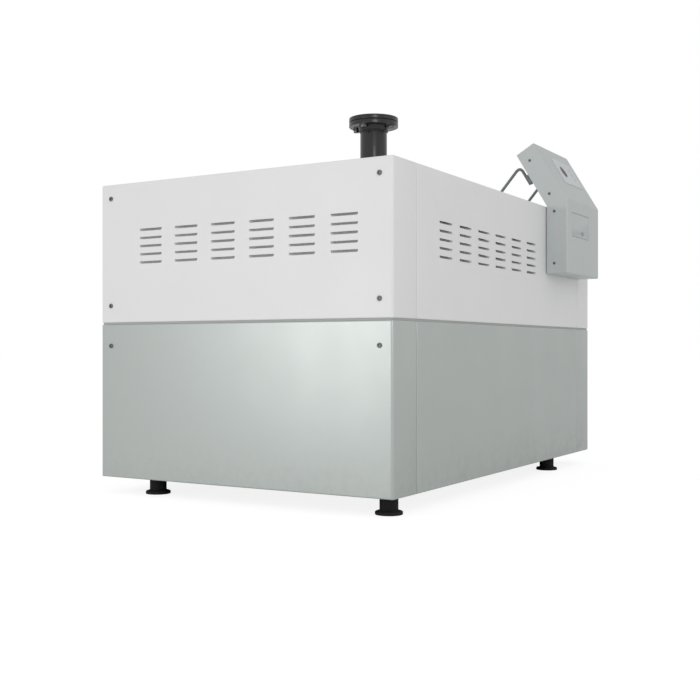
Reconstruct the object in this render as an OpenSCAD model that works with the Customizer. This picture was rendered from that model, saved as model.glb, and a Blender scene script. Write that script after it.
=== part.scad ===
// Floor-standing gas boiler in a two-tone sheet-steel casing.
// The long side with the sloping control box is the front (-Y). X runs along
// the casing, Z is up, and the origin is on the floor under the middle of the
// whole object. Inside at_cabinet() the point (0, 0, 0) is the casing's front
// left lower corner, Y runs to the back and every size is in millimetres.

/* [Casing] */
// Length of the casing, left to right
cabinet_l = 1970; // [1800:10:2500]
// Width of the casing, front to back
cabinet_w = 1250; // [1180:10:1600]
// Height of the casing without its feet
cabinet_h = 1095; // [1060:5:1400]
// Height of the joint between the lower and the upper panels
seam_z = 575; // [560:5:680]
// Open joint between the lower and the upper panels
seam_gap = 7; // [4:1:12]
// Thickness of the casing sheet
panel_t = 2; // [1:0.5:3]
// Depth of the folded panel edges, up to the frame behind them
panel_lip = 30; // [25:1:40]
// Part of a top edge that lies on the top frame
top_lap = 10; // [6:1:20]
// Width of the end panels' returns on the front and the back
strip_w = 162; // [130:2:200]
// Open joint between a return and the flat panel beside it
strip_gap = 4; // [2:1:8]
// Outside radius of the end panels' upright corners
corner_r = 10; // [5:1:16]
// Diameter of a panel screw's shank
screw_d = 8; // [5:1:10]
// Diameter of a panel screw's head
screw_head_d = 17; // [12:1:24]
// Height of a panel screw's head
screw_head_h = 4; // [2:0.5:6]
// Distance of the panel screws from the casing's upright edges
screw_inset = 50; // [42:1:58]
// Distance of the uppermost panel screws below the top
screw_top_drop = 53; // [46:1:70]
// Distance of the screws next to the seam above it
screw_over_seam = 66; // [40:1:100]
// Distance of the screws next to the seam below it
screw_under_seam = 84; // [50:1:120]

/* [Louvres] */
// Columns of slots in a block
louvre_cols = 6; // [3:1:6]
// Rows of slots in a block
louvre_rows = 5; // [3:1:6]
// Length of one slot
louvre_l = 104; // [60:1:120]
// Height of one slot
louvre_h = 8; // [5:0.5:12]
// Distance from one column to the next
louvre_pitch_x = 165; // [140:1:180]
// Distance from one row to the next
louvre_pitch_z = 30; // [22:1:36]
// Height of the blocks' middle above the casing's bottom
louvre_z = 858; // [800:2:900]
// Middle of the block in the left end, from the front
louvre_end_mid = 594; // [560:2:640]
// Middle of the block in the front, from the left end
louvre_front_mid = 801; // [760:2:860]

/* [Frame and feet] */
// Height of the base rails
base_h = 60; // [50:2:80]
// Width of the base rails
base_w = 60; // [56:2:80]
// Wall of the base rails
base_t = 4; // [3:0.5:6]
// Width of the corner posts' legs
post_w = 50; // [40:2:60]
// Wall of the posts, top rails and belt rails
post_t = 3; // [2:0.5:5]
// Height of the top rails
top_rail_h = 40; // [30:2:50]
// Height of the belt rails behind the seam
belt_h = 44; // [30:2:60]
// Gap between bolted frame members
bolted_gap = 0.2; // [0.1:0.1:0.5]
// Height of the casing's bottom above the floor
foot_h = 60; // [52:1:80]
// Diameter of a foot's pad
pad_d = 92; // [80:1:110]
// Height of a foot's pad
pad_h = 14; // [10:1:18]
// Diameter of the sleeves over the feet's spindles
sleeve_d = 62; // [50:1:66]
// Diameter of the feet's threaded spindles
spindle_d = 24; // [16:1:30]
// Length of a foot's spindle inside its base rail
spindle_grip = 40; // [30:1:44]
// Distance of the left feet from the left end
foot_left = 85; // [80:1:110]
// Distance of the right feet from the right end
foot_right = 402; // [300:2:420]
// Distance of the front feet from the front
foot_front = 62; // [58:1:70]
// Distance of the rear feet from the back
foot_rear = 206; // [150:2:260]

/* [Gas pipe] */
// Outside diameter of the steel gas pipe
pipe_d = 114.3; // [88.9:0.1:139.7]
// Wall of the gas pipe
pipe_wall = 3.6; // [2.5:0.1:5]
// Height of the pipe flange's underside above the casing
flange_rise = 333; // [200:1:400]
// Diameter of both flanges
flange_d = 210; // [200:1:240]
// Thickness of each flange
flange_t = 18; // [14:1:24]
// Circle of the flange bolts
flange_pcd = 170; // [164:1:200]
// Diameter of the flange bolts
bolt_d = 16; // [12:1:20]
// Bolt holes in the pipe flange are this much wider than the bolts
bolt_play = 2; // [1:0.5:3]
// Thickness of the flange gasket
gasket_t = 2; // [1:0.5:3]
// Wall of the weld collar where it meets the flange
hub_wall = 9.85; // [6:0.05:14]
// Height of the weld collar under the flange
hub_h = 17; // [10:1:24]
// Gap round the pipe where it is welded or passes a close-fitting ring
pipe_gap = 0.1; // [0.05:0.05:0.3]
// The counter flange's bore is this much wider than the pipe
socket_play = 1.8; // [1:0.1:3]

/* [Control box] */
// Width of the control box
box_w = 433; // [380:1:500]
// Distance of the control box from the casing's right end
box_right = 150; // [120:2:300]
// Distance of the box's face in front of the casing
box_out = 96; // [90:1:120]
// Depth of the control box
box_depth = 92; // [80:1:100]
// Distance of the box's lower end below the casing's top
box_drop = 290; // [270:2:340]
// Height of the bend in the box's face above the casing's top
bend_up = 28; // [20:1:40]
// Length of the box's sloping face
slope_l = 294; // [270:2:330]
// Lean of the sloping face from the upright
lean = 31; // [28:1:34]
// Thickness of the control box's sheet
box_t = 2; // [1:0.5:2.5]
// Diameter of the two bent stays
stay_d = 13; // [10:1:16]
// Distance of the stays' axes behind the sloping back
stay_stand = 23.5; // [16:0.5:30]
// Distance of each stay from its side of the box
stay_inset = 48; // [30:1:80]
// Width of the light display plate
bezel_w = 243; // [220:1:260]
// Height of the display plate along the slope
bezel_h = 134; // [120:1:150]
// Left edge of the display plate from the box's left side
bezel_x = 135; // [110:1:150]
// Lower edge of the display plate from the bend
bezel_s = 104; // [90:1:120]
// Height of the display plate above the cover
bezel_t = 3; // [2:0.5:5]
// Diameter of the round display
window_d = 58; // [50:1:66]
// Diameter of a key
key_d = 13; // [10:1:16]
// Travel of a key
key_travel = 1.2; // [0.8:0.1:1.5]
// Width of the service flap
flap_w = 229; // [200:1:250]
// Height of the service flap
flap_h = 103; // [90:1:120]
// Left edge of the service flap from the box's left side
flap_x = 60; // [50:1:80]
// Upper edge of the service flap below the casing's top
flap_drop = 24; // [16:1:30]
// Gap between moving covers, keys or levers and what is beside them
run_gap = 0.5; // [0.3:0.1:1]
// Radial clearance of shafts, pins and spindles in their holes
shaft_gap = 0.05; // [0.02:0.01:0.1]

/* [Heat exchanger] */
// Length of the heat exchanger between its tube plates' outer faces
hx_l = 1200; // [900:10:1250]
// Width of the combustion chamber
hx_w = 520; // [480:10:640]
// Distance from the gas pipe to the heat exchanger's left end
hx_left = 685; // [600:5:690]
// Height of the exhaust collector
collector_h = 258; // [256:1:270]
// Height of the combustion chamber
chamber_h = 230; // [200:5:240]
// Height of the burner plenum
plenum_h = 56; // [50:1:62]
// Diameter of the exchanger tubes
tube_d = 40; // [30:1:44]
// Wall of the exchanger tubes
tube_wall = 2.5; // [1.5:0.5:4]
// Tubes in each of the two rows
tube_count = 8; // [5:1:8]
// Depth of the water headers
header_l = 80; // [60:5:100]
// Outside diameter of the water pipes
water_d = 88.9; // [60.3:0.1:101.6]
// Wall of the water pipes
water_wall = 3.2; // [2:0.1:5]
// Diameter of the water pipes' flanges
water_flange_d = 190; // [180:1:200]
// Circle of the water flanges' bolts
water_pcd = 150; // [146:1:160]
// Thickness of the water flanges
water_flange_t = 18; // [14:1:22]
// Distance of each water pipe from the middle of the casing
water_side = 190; // [180:2:210]
// Inside diameter of the flue socket
flue_d = 250.6; // [200:0.1:252]
// Wall of the flue socket
flue_wall = 2; // [1:0.5:3]
// Length of the water flanges' faces beyond the right end
side_out = 90; // [70:1:140]
// Wall of the chamber, collector and plenum
shell_t = 3; // [2:0.5:4]

/* [Fan and gas train] */
// Outer radius of the fan housing
fan_r = 170; // [150:1:180]
// Width of the fan housing
fan_w = 110; // [90:1:120]
// Radius of the impeller
impeller_r = 138; // [110:1:140]
// Blades on the impeller
blade_count = 12; // [8:1:16]
// Distance from the gas pipe to the fan housing's near side
fan_reach = 290; // [250:5:320]
// Length of the fan motor
motor_l = 150; // [120:5:170]
// Radius of the fan motor
motor_r = 75; // [60:1:90]
// Radius of the fan shaft
shaft_r = 9; // [7:0.5:12]
// Height of the fan's axis above the burner plenum
fan_up = 204; // [196:1:210]
// Side of the gas control block
block_s = 170; // [150:2:176]
// Height of the gas valve
valve_h = 100; // [96:1:110]
// Radius of the gas valve's body
valve_r = 78; // [74:1:84]
// Radius of the gas valve's ball
ball_r = 48; // [40:1:48]
// Length of the gas valve's lever
lever_l = 170; // [120:5:190]

/* [Hidden] */

fine = 64;
eps = 1;
lock_head_h = 3;

// The whole object's box decides where the casing stands, so that the origin
// is under the middle of that box.
left_out = screw_head_h;
shift_x = -(cabinet_l + left_out + side_out) / 2 + left_out;
front_out = box_out + lock_head_h;
shift_y = -(cabinet_w + front_out) / 2 + front_out;

frame_in = panel_lip;
post_end = frame_in + post_w;
top_z = cabinet_h - panel_t;
upper_z0 = seam_z + seam_gap / 2;
lower_z1 = seam_z - seam_gap / 2;
flat_l = cabinet_l - 2 * (strip_w + strip_gap);

pipe_x = cabinet_l / 2;
mid_y = cabinet_w / 2;
bolt_hole_r = (bolt_d + bolt_play) / 2;
flange_z = cabinet_h + flange_rise;
counter_z = flange_z + flange_t + gasket_t;
bolt_head_h = 10;
washer_h = 3;

box_x = cabinet_l - box_right - box_w;
slope_top = [box_out - slope_l * sin(lean), bend_up + slope_l * cos(lean)];
back_top = slope_top - box_depth * [cos(lean), sin(lean)];
back_out = box_out - box_depth;
back_bend = [back_out, back_top[1] - (back_out - back_top[0]) / tan(lean)];

hx_x = pipe_x - hx_left;
hx_y = mid_y - hx_w / 2;
collector_z = base_h + 10;
chamber_z = collector_z + collector_h;
burner_z = chamber_z + chamber_h;
burner_t = 8;
plenum_z = burner_z + burner_t;
fan_z = plenum_z + plenum_h + fan_up;
fan_x0 = pipe_x - fan_reach - fan_w;
fan_x1 = pipe_x - fan_reach;
collector_end = 100;
collector_x1 = hx_x + hx_l + header_l + collector_end;
flue_z = collector_z + collector_h / 2;
water_z = chamber_z + chamber_h / 2;
block_z = fan_z - block_s / 2;
valve_z = block_z + block_s;
valve_mid = valve_z + valve_h / 2;
lever_y = mid_y - valve_r - 34;
tube_sheet_t = 12;

FEET = [[foot_left, foot_front], [cabinet_l - foot_right, foot_front],
  [foot_left, cabinet_w - foot_rear], [cabinet_l - foot_right, cabinet_w - foot_rear]];
// Left sides of the two base rails that carry the heat exchanger.
BEARER_X = [pipe_x - 215, pipe_x + 400];
SCREW_Z = [cabinet_h - screw_top_drop, seam_z + screw_over_seam, seam_z - screw_under_seam];

module at_cabinet() translate([shift_x, shift_y, foot_h]) children();

// Turns a Z-wise shape so that its height runs along +X or along -Y.
module along_x() rotate([0, 90, 0]) children();
module along_front() rotate([90, 0, 0]) children();

module ring(r_out, r_in, h) difference() {
  cylinder(r = r_out, h = h, $fn = fine);
  translate([0, 0, -eps]) cylinder(r = r_in, h = h + 2 * eps, $fn = fine);
}

// An open-sided channel along X with its web at y = 0.
module channel(l, w, h, t) difference() {
  cube([l, w, h]);
  translate([-eps, t, t]) cube([l + 2 * eps, w, h - 2 * t]);
}

// An angle along X: one leg upright at y = 0, the other level at the top.
module angle(l, w, h, t) difference() {
  cube([l, w, h]);
  translate([-eps, t, -eps]) cube([l + 2 * eps, w, h - t + eps]);
}

// The same angle or channel turned to run along Y with its web at x = 0.
module along_y() mirror([1, -1, 0]) children();

module mirror_x(on) translate([on ? cabinet_l : 0, 0, 0]) mirror([on ? 1 : 0, 0, 0]) children();
module mirror_y(on) translate([0, on ? cabinet_w : 0, 0]) mirror([0, on ? 1 : 0, 0]) children();

// ---- frame and feet ------------------------------------------------------

module base_frame() color("dimgray") at_cabinet() difference() {
  union() {
    for (rear = [false, true]) mirror_y(rear)
      translate([frame_in, frame_in, 0]) channel(cabinet_l - 2 * frame_in, base_w, base_h, base_t);
    for (x = concat([foot_left - base_w / 2, cabinet_l - foot_right - base_w / 2], BEARER_X))
      translate([x, frame_in + base_w + bolted_gap, 0]) along_y()
        channel(cabinet_w - 2 * (frame_in + base_w + bolted_gap), base_w, base_h, base_t);
    mirror_x(true) translate([frame_in, frame_in + base_w + bolted_gap, 0]) along_y()
      channel(cabinet_w - 2 * (frame_in + base_w + bolted_gap), base_w, base_h, base_t);
  }
  for (p = FEET) translate([p[0], p[1], -eps])
    cylinder(d = spindle_d + 2 * shaft_gap, h = base_t + 2 * eps, $fn = fine);
}

module foot_sleeves() color("black") at_cabinet()
  for (p = FEET) translate([p[0], p[1], pad_h - foot_h]) difference() {
    cylinder(d = sleeve_d, h = foot_h - pad_h, $fn = fine);
    translate([0, 0, -eps])
      cylinder(d = spindle_d + 2 * shaft_gap, h = foot_h - pad_h + 2 * eps, $fn = fine);
  }

// One foot: a pad on the floor and the threaded spindle that carries it.
module foot(p) color("black") at_cabinet() translate([p[0], p[1], -foot_h]) {
  cylinder(d = pad_d, h = pad_h * 0.7, $fn = fine);
  translate([0, 0, pad_h * 0.7]) cylinder(d1 = pad_d, d2 = sleeve_d + 6, h = pad_h * 0.3, $fn = fine);
  cylinder(d = spindle_d, h = foot_h + spindle_grip, $fn = fine);
}

module corner_posts() color("gray") at_cabinet()
  for (right = [false, true], rear = [false, true])
    mirror_x(right) mirror_y(rear) translate([frame_in, frame_in, base_h]) difference() {
      cube([post_w, post_w, top_z - top_rail_h - base_h]);
      translate([post_t, post_t, -eps]) cube([post_w, post_w, cabinet_h]);
      for (z = SCREW_Z) translate([-eps, screw_inset - frame_in, z - base_h]) along_x()
        cylinder(d = screw_d + 4 * shaft_gap, h = post_t + 2 * eps, $fn = 24);
    }

module belt_rails() color("dimgray") at_cabinet() translate([0, 0, seam_z - belt_h / 2]) {
  span_x = cabinet_l - 2 * (post_end + bolted_gap);
  span_y = cabinet_w - 2 * (post_end + bolted_gap);
  for (rear = [false, true]) mirror_y(rear)
    translate([post_end + bolted_gap, frame_in, 0]) cube([span_x, post_t, belt_h]);
  for (right = [false, true]) mirror_x(right)
    translate([frame_in, post_end + bolted_gap, 0]) cube([post_t, span_y, belt_h]);
}

module top_frame() color("gray") at_cabinet() translate([0, 0, top_z - top_rail_h]) {
  span = cabinet_w - 2 * (post_end + bolted_gap);
  for (rear = [false, true]) mirror_y(rear) translate([frame_in, frame_in, 0])
    angle(cabinet_l - 2 * frame_in, post_w, top_rail_h, post_t);
  for (right = [false, true]) mirror_x(right)
    translate([frame_in, post_end + bolted_gap, 0]) along_y() angle(span, post_w, top_rail_h, post_t);
  for (x = [pipe_x - 2 * pipe_d, pipe_x + 2 * pipe_d - post_w])
    translate([x, post_end + bolted_gap, 0]) along_y() angle(span, post_w, top_rail_h, post_t);
}

// ---- casing --------------------------------------------------------------

// Plan of an end panel: closed at x = 0, open to the right, corners rounded.
module end_plan(l, w, r) {
  translate([r, 0]) square([l - r, w]);
  translate([0, r]) square([l, w - 2 * r]);
  for (y = [r, w - r]) translate([r, y]) circle(r = r, $fn = fine);
}

module end_band(depth) difference() {
  end_plan(strip_w, cabinet_w, corner_r);
  translate([depth, depth]) square([strip_w, cabinet_w - 2 * depth]);
}

// A left end panel from z0 to z1. Its top and bottom edges are folded in.
module end_panel(z0, z1, top_depth, screw_rows) difference() {
  union() {
    translate([0, 0, z0]) linear_extrude(z1 - z0) difference() {
      end_plan(strip_w, cabinet_w, corner_r);
      translate([panel_t, panel_t])
        end_plan(strip_w, cabinet_w - 2 * panel_t, corner_r - panel_t);
    }
    translate([0, 0, z0]) linear_extrude(panel_t) end_band(panel_lip);
    translate([0, 0, z1 - panel_t]) linear_extrude(panel_t) end_band(top_depth);
    for (y = [0, cabinet_w - panel_lip])
      translate([strip_w - panel_t, y, z0]) cube([panel_t, panel_lip, z1 - z0]);
  }
  for (row = screw_rows, y = [screw_inset, cabinet_w - screw_inset])
    translate([-eps, y, SCREW_Z[row]]) along_x()
      cylinder(d = screw_d + 4 * shaft_gap, h = panel_t + 2 * eps, $fn = 24);
}

// A flat panel between the returns, with all four edges folded back.
module flat_panel(z0, z1, top_depth) translate([strip_w + strip_gap, 0, z0]) {
  h = z1 - z0;
  cube([flat_l, panel_t, h]);
  for (x = [0, flat_l - panel_t]) translate([x, 0, 0]) cube([panel_t, panel_lip, h]);
  cube([flat_l, panel_lip, panel_t]);
  translate([0, 0, h - panel_t]) cube([flat_l, top_depth, panel_t]);
}

// A block of louvre slots, cut through the sheet at y = 0 and centred on x = 0.
module louvre_cuts() translate([0, -eps, louvre_z])
  for (i = [0:louvre_cols - 1], j = [0:louvre_rows - 1])
    translate([(i - (louvre_cols - 1) / 2) * louvre_pitch_x - louvre_l / 2, 0,
        (j - (louvre_rows - 1) / 2) * louvre_pitch_z - louvre_h / 2])
      cube([louvre_l, panel_t + 2 * eps, louvre_h]);

module left_upper_panel() color("whitesmoke") at_cabinet() difference() {
  end_panel(upper_z0, cabinet_h, panel_lip + top_lap, [0, 1]);
  translate([0, louvre_end_mid, 0]) along_y() louvre_cuts();
}

module left_lower_panel() color("lightgray") at_cabinet()
  end_panel(0, lower_z1, panel_lip, [2]);

module right_upper_panel() color("whitesmoke") at_cabinet() mirror_x(true)
  end_panel(upper_z0, cabinet_h, panel_lip + top_lap, [0, 1]);

module right_lower_panel() color("lightgray") at_cabinet() difference() {
  mirror_x(true) end_panel(0, lower_z1, panel_lip, [2]);
  for (side = [-1, 1]) translate([cabinet_l - strip_w, mid_y + side * water_side, water_z])
    along_x() cylinder(d = water_flange_d + 6, h = strip_w + eps, $fn = fine);
  translate([cabinet_l - strip_w, mid_y, flue_z]) along_x()
    cylinder(d = flue_d + 2 * flue_wall + 20, h = strip_w + eps, $fn = fine);
}

module front_upper_panel() color("whitesmoke") at_cabinet() difference() {
  flat_panel(upper_z0, cabinet_h, panel_lip + top_lap);
  translate([louvre_front_mid, 0, 0]) louvre_cuts();
}

module front_lower_panel() color("lightgray") at_cabinet() flat_panel(0, lower_z1, panel_lip);

module rear_upper_panel() color("whitesmoke") at_cabinet() mirror_y(true)
  flat_panel(upper_z0, cabinet_h, panel_lip + top_lap);

module rear_lower_panel() color("lightgray") at_cabinet() mirror_y(true)
  flat_panel(0, lower_z1, panel_lip);

// Two covers that meet over the gas pipe, each with a stiffening fold there.
module top_covers() color("whitesmoke") at_cabinet() {
  edge = panel_lip + top_lap + 1;
  for (right = [false, true]) mirror_x(right) difference() {
    union() {
      translate([edge, edge, top_z]) cube([pipe_x - edge - 0.5, cabinet_w - 2 * edge, panel_t]);
      translate([pipe_x - 0.5 - panel_t, post_end + run_gap, top_z - 25])
        cube([panel_t, cabinet_w - 2 * (post_end + run_gap), 25]);
    }
    translate([pipe_x, mid_y, top_z - 30]) cylinder(d = pipe_d + 24, h = 40, $fn = fine);
  }
}

module panel_screws() color("slategray") at_cabinet()
  for (right = [false, true], z = SCREW_Z, y = [screw_inset, cabinet_w - screw_inset])
    mirror_x(right) translate([0, y, z]) along_x() {
      translate([0, 0, -screw_head_h]) cylinder(d = screw_head_d, h = screw_head_h, $fn = fine);
      cylinder(d = screw_d, h = frame_in + post_t + 4, $fn = 24);
    }

// Rings that close the casing round the gas pipe, the water pipes and the flue.
module pipe_rosettes() color("dimgray") at_cabinet() {
  translate([pipe_x, mid_y, cabinet_h]) ring(pipe_d / 2 + 32, pipe_d / 2 + pipe_gap, 5);
  for (side = [-1, 1]) translate([cabinet_l, mid_y + side * water_side, water_z])
    along_x() ring(water_flange_d / 2 + 13, water_d / 2 + pipe_gap, 4);
  translate([cabinet_l, mid_y, flue_z])
    along_x() ring(flue_d / 2 + 30, flue_d / 2 + flue_wall + pipe_gap, 4);
}

// ---- control box ---------------------------------------------------------

// The box's frame: x along the box, y towards its back, z above the casing's top.
module at_box() at_cabinet() translate([box_x, 0, cabinet_h]) children();

// A shape drawn as [out, up] is extruded along the box from x0 over w.
module box_extrude(x0, w) translate([x0 + w, 0, 0]) rotate([90, 0, -90]) linear_extrude(w) children();

// The sloping face's frame: x along the box, y up the slope, z out of the face.
module at_slope(x, s) translate([x, -box_out, bend_up]) rotate([90 - lean, 0, 0])
  translate([0, s, 0]) children();

// Outline of the box's side, shrunk by the sheet's thickness where t is given.
module box_outline(t) polygon([
  [back_out + (t > 0 ? -eps : 0), t - box_drop],
  [box_out - t, t - box_drop],
  [box_out - t, bend_up - t * tan(lean / 2)],
  slope_top - t * [cos(lean), sin(lean)] + t * [sin(lean), -cos(lean)],
  back_top + (t > 0 ? t * [sin(lean), -cos(lean)] - eps * [cos(lean), sin(lean)] : [0, 0]),
  back_bend + (t > 0 ? -eps * [1, tan(lean / 2)] : [0, 0])]);

flap_z = -flap_drop - flap_h;
flap_gap = 1;
lock_x = flap_x + 143;
lock_z = flap_z + 20;
pin_r = 2;
barrel_r = 4;
pin_out = box_out - box_t - barrel_r;
pin_z = -flap_drop - 11;

module box_cover() color("silver") at_box() difference() {
  box_extrude(0, box_w) box_outline(0);
  box_extrude(box_t, box_w - 2 * box_t) box_outline(box_t);
  translate([flap_x, -box_out - eps, flap_z]) cube([flap_w, box_t + 2 * eps, flap_h]);
  at_slope(bezel_x + bezel_w / 2 - window_d / 2 - 27, bezel_s + bezel_h / 2)
    translate([0, 0, -box_t - eps]) cylinder(d = window_d - 8, h = box_t + 2 * eps, $fn = fine);
  at_slope(bezel_x, bezel_s) for (k = [0:2]) translate(key_spot(k))
    translate([0, 0, -box_t - eps]) cylinder(d = key_d + 2 * run_gap, h = box_t + 2 * eps, $fn = fine);
  box_screw_spots() cylinder(d = 5 + 4 * shaft_gap, h = box_t + 2 * eps, center = true, $fn = 24);
}

// Places of the eight screws in the box's sides, each with its axis along X.
BOX_SCREWS = [[-73, 205], [16, 54], [38, -23], [38, -246]];
module box_screw_spots() for (x = [box_t / 2, box_w - box_t / 2], p = BOX_SCREWS)
  translate([x, -p[0], p[1]]) along_x() children();

// The back: a bent plate between the cover's sides, with a flange up each side.
module box_back() color("darkgray") at_box() {
  inner_w = box_w - 2 * (box_t + bolted_gap);
  x0 = box_t + bolted_gap;
  lift = box_t + bolted_gap;
  lean_in = [cos(lean), sin(lean)];
  end_in = lift * [sin(lean), -cos(lean)];
  low = [back_out, lift - box_drop];
  high = back_top + end_in;
  bend_in = [1, tan(lean / 2)];
  difference() {
    union() {
      box_extrude(x0, inner_w) polygon([low, low + [box_t, 0], back_bend + box_t * bend_in,
        high + box_t * lean_in, high, back_bend]);
      for (x = [x0, x0 + inner_w - box_t]) box_extrude(x, box_t)
        polygon([low, low + [56, 0], back_bend + 56 * bend_in, high + 56 * lean_in, high, back_bend]);
    }
    for (x = [0, box_w], p = BOX_SCREWS) translate([x, -p[0], p[1]]) along_x()
      cylinder(d = 5 + 4 * shaft_gap, h = 30, center = true, $fn = 24);
  }
  for (x = [60, box_w - 60], z = [40 - box_drop, -40]) translate([x, 0, z]) along_front()
    cylinder(d = 24, h = back_out, $fn = fine);
}

module box_screws() color("slategray") at_box() for (right = [0, 1], p = BOX_SCREWS)
  translate([right * box_w, -p[0], p[1]]) rotate([0, right == 1 ? 90 : -90, 0]) {
    cylinder(d = 12, h = 3, $fn = fine);
    translate([0, 0, -2 * box_t - 4]) cylinder(d = 5, h = 2 * box_t + 4, $fn = 24);
  }

// The frame of the sloping back: z up the slope from the bend, y out of the
// back and away from the box.
module at_slope_back() translate([0, -back_bend[0], back_bend[1]]) rotate([-lean, 0, 0]) children();

// A point given as [distance behind the sloping back, height up the slope],
// turned into [distance behind the casing's front, height above its top].
function from_back(p) = [-back_bend[0] + p[0] * cos(lean) + p[1] * sin(lean),
  back_bend[1] - p[0] * sin(lean) + p[1] * cos(lean)];
function unit(v) = v / norm(v);

// A stay's centre line: up from its foot on the top cover to a bend, then down
// beside the sloping back to the block that it is welded to.
stay_foot = [297, 0];
stay_bend = from_back([stay_stand, 233]);
stay_end = from_back([stay_stand, 138]);
stay_up = unit(stay_bend - stay_foot);
stay_down = unit(stay_end - stay_bend);
stay_turn = acos(stay_up * stay_down);
stay_bend_r = 24;
stay_tangent = stay_bend_r * tan(stay_turn / 2);

// A straight round bar between two points of the stay's plane.
module stay_bar(a, b) translate([0, a[0], a[1]])
  rotate([-90 + atan2(b[1] - a[1], b[0] - a[0]), 0, 0])
    cylinder(d = stay_d, h = norm(b - a), $fn = 32);

module stay_rod() {
  a = stay_bend - stay_tangent * stay_up;
  b = stay_bend + stay_tangent * stay_down;
  normal = [-stay_up[1], stay_up[0]];
  side = normal * stay_down > 0 ? 1 : -1;
  centre = a + side * stay_bend_r * normal;
  start = atan2(a[1] - centre[1], a[0] - centre[0]);
  stay_bar(stay_foot - 20 * stay_up, a);
  stay_bar(b, stay_end);
  translate([0, centre[0], centre[1]]) rotate([90, 0, 90])
    rotate([0, 0, start - (side < 0 ? stay_turn : 0)])
      rotate_extrude(angle = stay_turn, $fn = fine) translate([stay_bend_r, 0]) circle(d = stay_d, $fn = 32);
}

module box_stays() color("lightslategray") at_box()
  for (x = [stay_inset, box_w - stay_inset]) translate([x, 0, 0]) {
    difference() {
      stay_rod();
      translate([-50, 0, -100]) cube([100, 400, 100]);
    }
    translate([-20, stay_foot[0] - 30, 0]) cube([40, 60, 4]);
    at_slope_back() translate([-14, 0, 138]) cube([28, stay_stand, 40]);
  }

window_at = [bezel_w / 2 - window_d / 2 - 27, bezel_h / 2, 0];
function key_spot(k) = [bezel_w - 62, bezel_h / 2 + (k - 1) * 26, 0];

module display_bezel() color("gainsboro") at_box() at_slope(bezel_x, bezel_s) difference() {
  cube([bezel_w, bezel_h, bezel_t]);
  translate(window_at) translate([0, 0, -eps])
    cylinder(d = window_d + 2 * shaft_gap, h = bezel_t + 2 * eps, $fn = fine);
  for (k = [0:2]) translate(key_spot(k)) translate([0, 0, -eps])
    cylinder(d = key_d + 2 * run_gap, h = bezel_t + 2 * eps, $fn = fine);
}

module display_window() color("dimgray") at_box() at_slope(bezel_x, bezel_s)
  translate(window_at) cylinder(d = window_d, h = bezel_t - 1, $fn = fine);

// A key: a round cap proud of the plate, with a wide skirt behind the cover.
module key(k) color("gainsboro") at_box() at_slope(bezel_x, bezel_s) translate(key_spot(k)) {
  translate([0, 0, -box_t - key_travel])
    cylinder(d = key_d, h = box_t + bezel_t + 2 * key_travel, $fn = fine);
  translate([0, 0, -box_t - run_gap - 2]) cylinder(d = key_d + 6, h = 2, $fn = fine);
}

// The flap in front of the switches. It fills its opening in the cover and hangs
// on a barrel behind its upper edge, low enough for that edge to turn inwards.
module service_flap() color("darkgray") at_box() difference() {
  union() {
    translate([flap_x + flap_gap, -box_out, flap_z + flap_gap])
      cube([flap_w - 2 * flap_gap, box_t, flap_h - flap_gap - 1.5]);
    translate([flap_x + 6, -pin_out, pin_z]) along_x() cylinder(r = barrel_r, h = flap_w - 12, $fn = fine);
    translate([flap_x + 6, -pin_out - barrel_r, pin_z - 2]) cube([flap_w - 12, barrel_r / 2, 4]);
  }
  translate([flap_x, -pin_out, pin_z]) along_x()
    cylinder(r = pin_r + shaft_gap, h = flap_w, $fn = fine);
  translate([lock_x, -box_out + box_t + eps, lock_z]) along_front()
    cylinder(r = 4 + shaft_gap, h = box_t + 2 * eps, $fn = fine);
}

// The hinge pin, held at both ends by an ear on the back of the cover.
module flap_pin() color("silver") at_box() {
  translate([flap_x - 8, -pin_out, pin_z]) along_x() cylinder(r = pin_r, h = flap_w + 16, $fn = fine);
  for (x = [flap_x - 8, flap_x + flap_w + 2]) translate([x, box_t - box_out, pin_z - 5])
    cube([6, barrel_r + pin_r + 2, 10]);
}

// A quarter-turn lock: a round head in front, a stem, and a cam behind the
// flap. It is drawn unlocked, with the cam level.
module flap_lock() color("gray") at_box() translate([lock_x, -box_out, lock_z]) {
  along_front() difference() {
    cylinder(r = 8, h = lock_head_h, $fn = fine);
    translate([-6, -1, lock_head_h - 1]) cube([12, 2, 2]);
  }
  translate([0, box_t + 3.5, 0]) along_front() cylinder(r = 4, h = box_t + 3.5, $fn = fine);
  translate([-5, box_t + run_gap, -5]) cube([32, 3, 10]);
}

switch_y = 24 - box_out;

// The plate behind the flap, hung from the cover on four posts beside the flap.
module switch_panel() color("dimgray") at_box() difference() {
  union() {
    translate([flap_x - 12, switch_y, flap_z]) cube([flap_w + 24, 2, flap_h]);
    for (x = [flap_x - 11, flap_x + flap_w + 5], z = [flap_z + 2, flap_z + flap_h - 32])
      translate([x, box_t - box_out, z]) cube([6, 24 - box_t, 6]);
  }
  translate([flap_x + 30, switch_y - eps, flap_z + 37])
    cube([rocker_w + 2 * run_gap, 2 + 2 * eps, 38]);
  translate([flap_x + 90, switch_y - eps, flap_z + 56]) rotate([-90, 0, 0])
    cylinder(d = 14 + 2 * run_gap, h = 2 + 2 * eps, $fn = fine);
}

rocker_w = 22;

// A rocker with a hollowed face. It turns about an axis along X in its window.
module power_switch() color("black") at_box() box_extrude(flap_x + 30 + run_gap, rocker_w)
  translate([-switch_y - 1, flap_z + 56]) rotate(-8)
    polygon([[6, 16], [4.4, 0], [6, -16], [0, -16], [-5, -6], [-5, 6], [0, 16]]);

module reset_button() color("green") at_box() translate([flap_x + 90, switch_y - 4, flap_z + 56])
  rotate([-90, 0, 0]) {
    cylinder(d = 14, h = 12, $fn = fine);
    translate([0, 0, 4 + 2 + run_gap]) cylinder(d = 20, h = 2, $fn = fine);
  }

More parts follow.
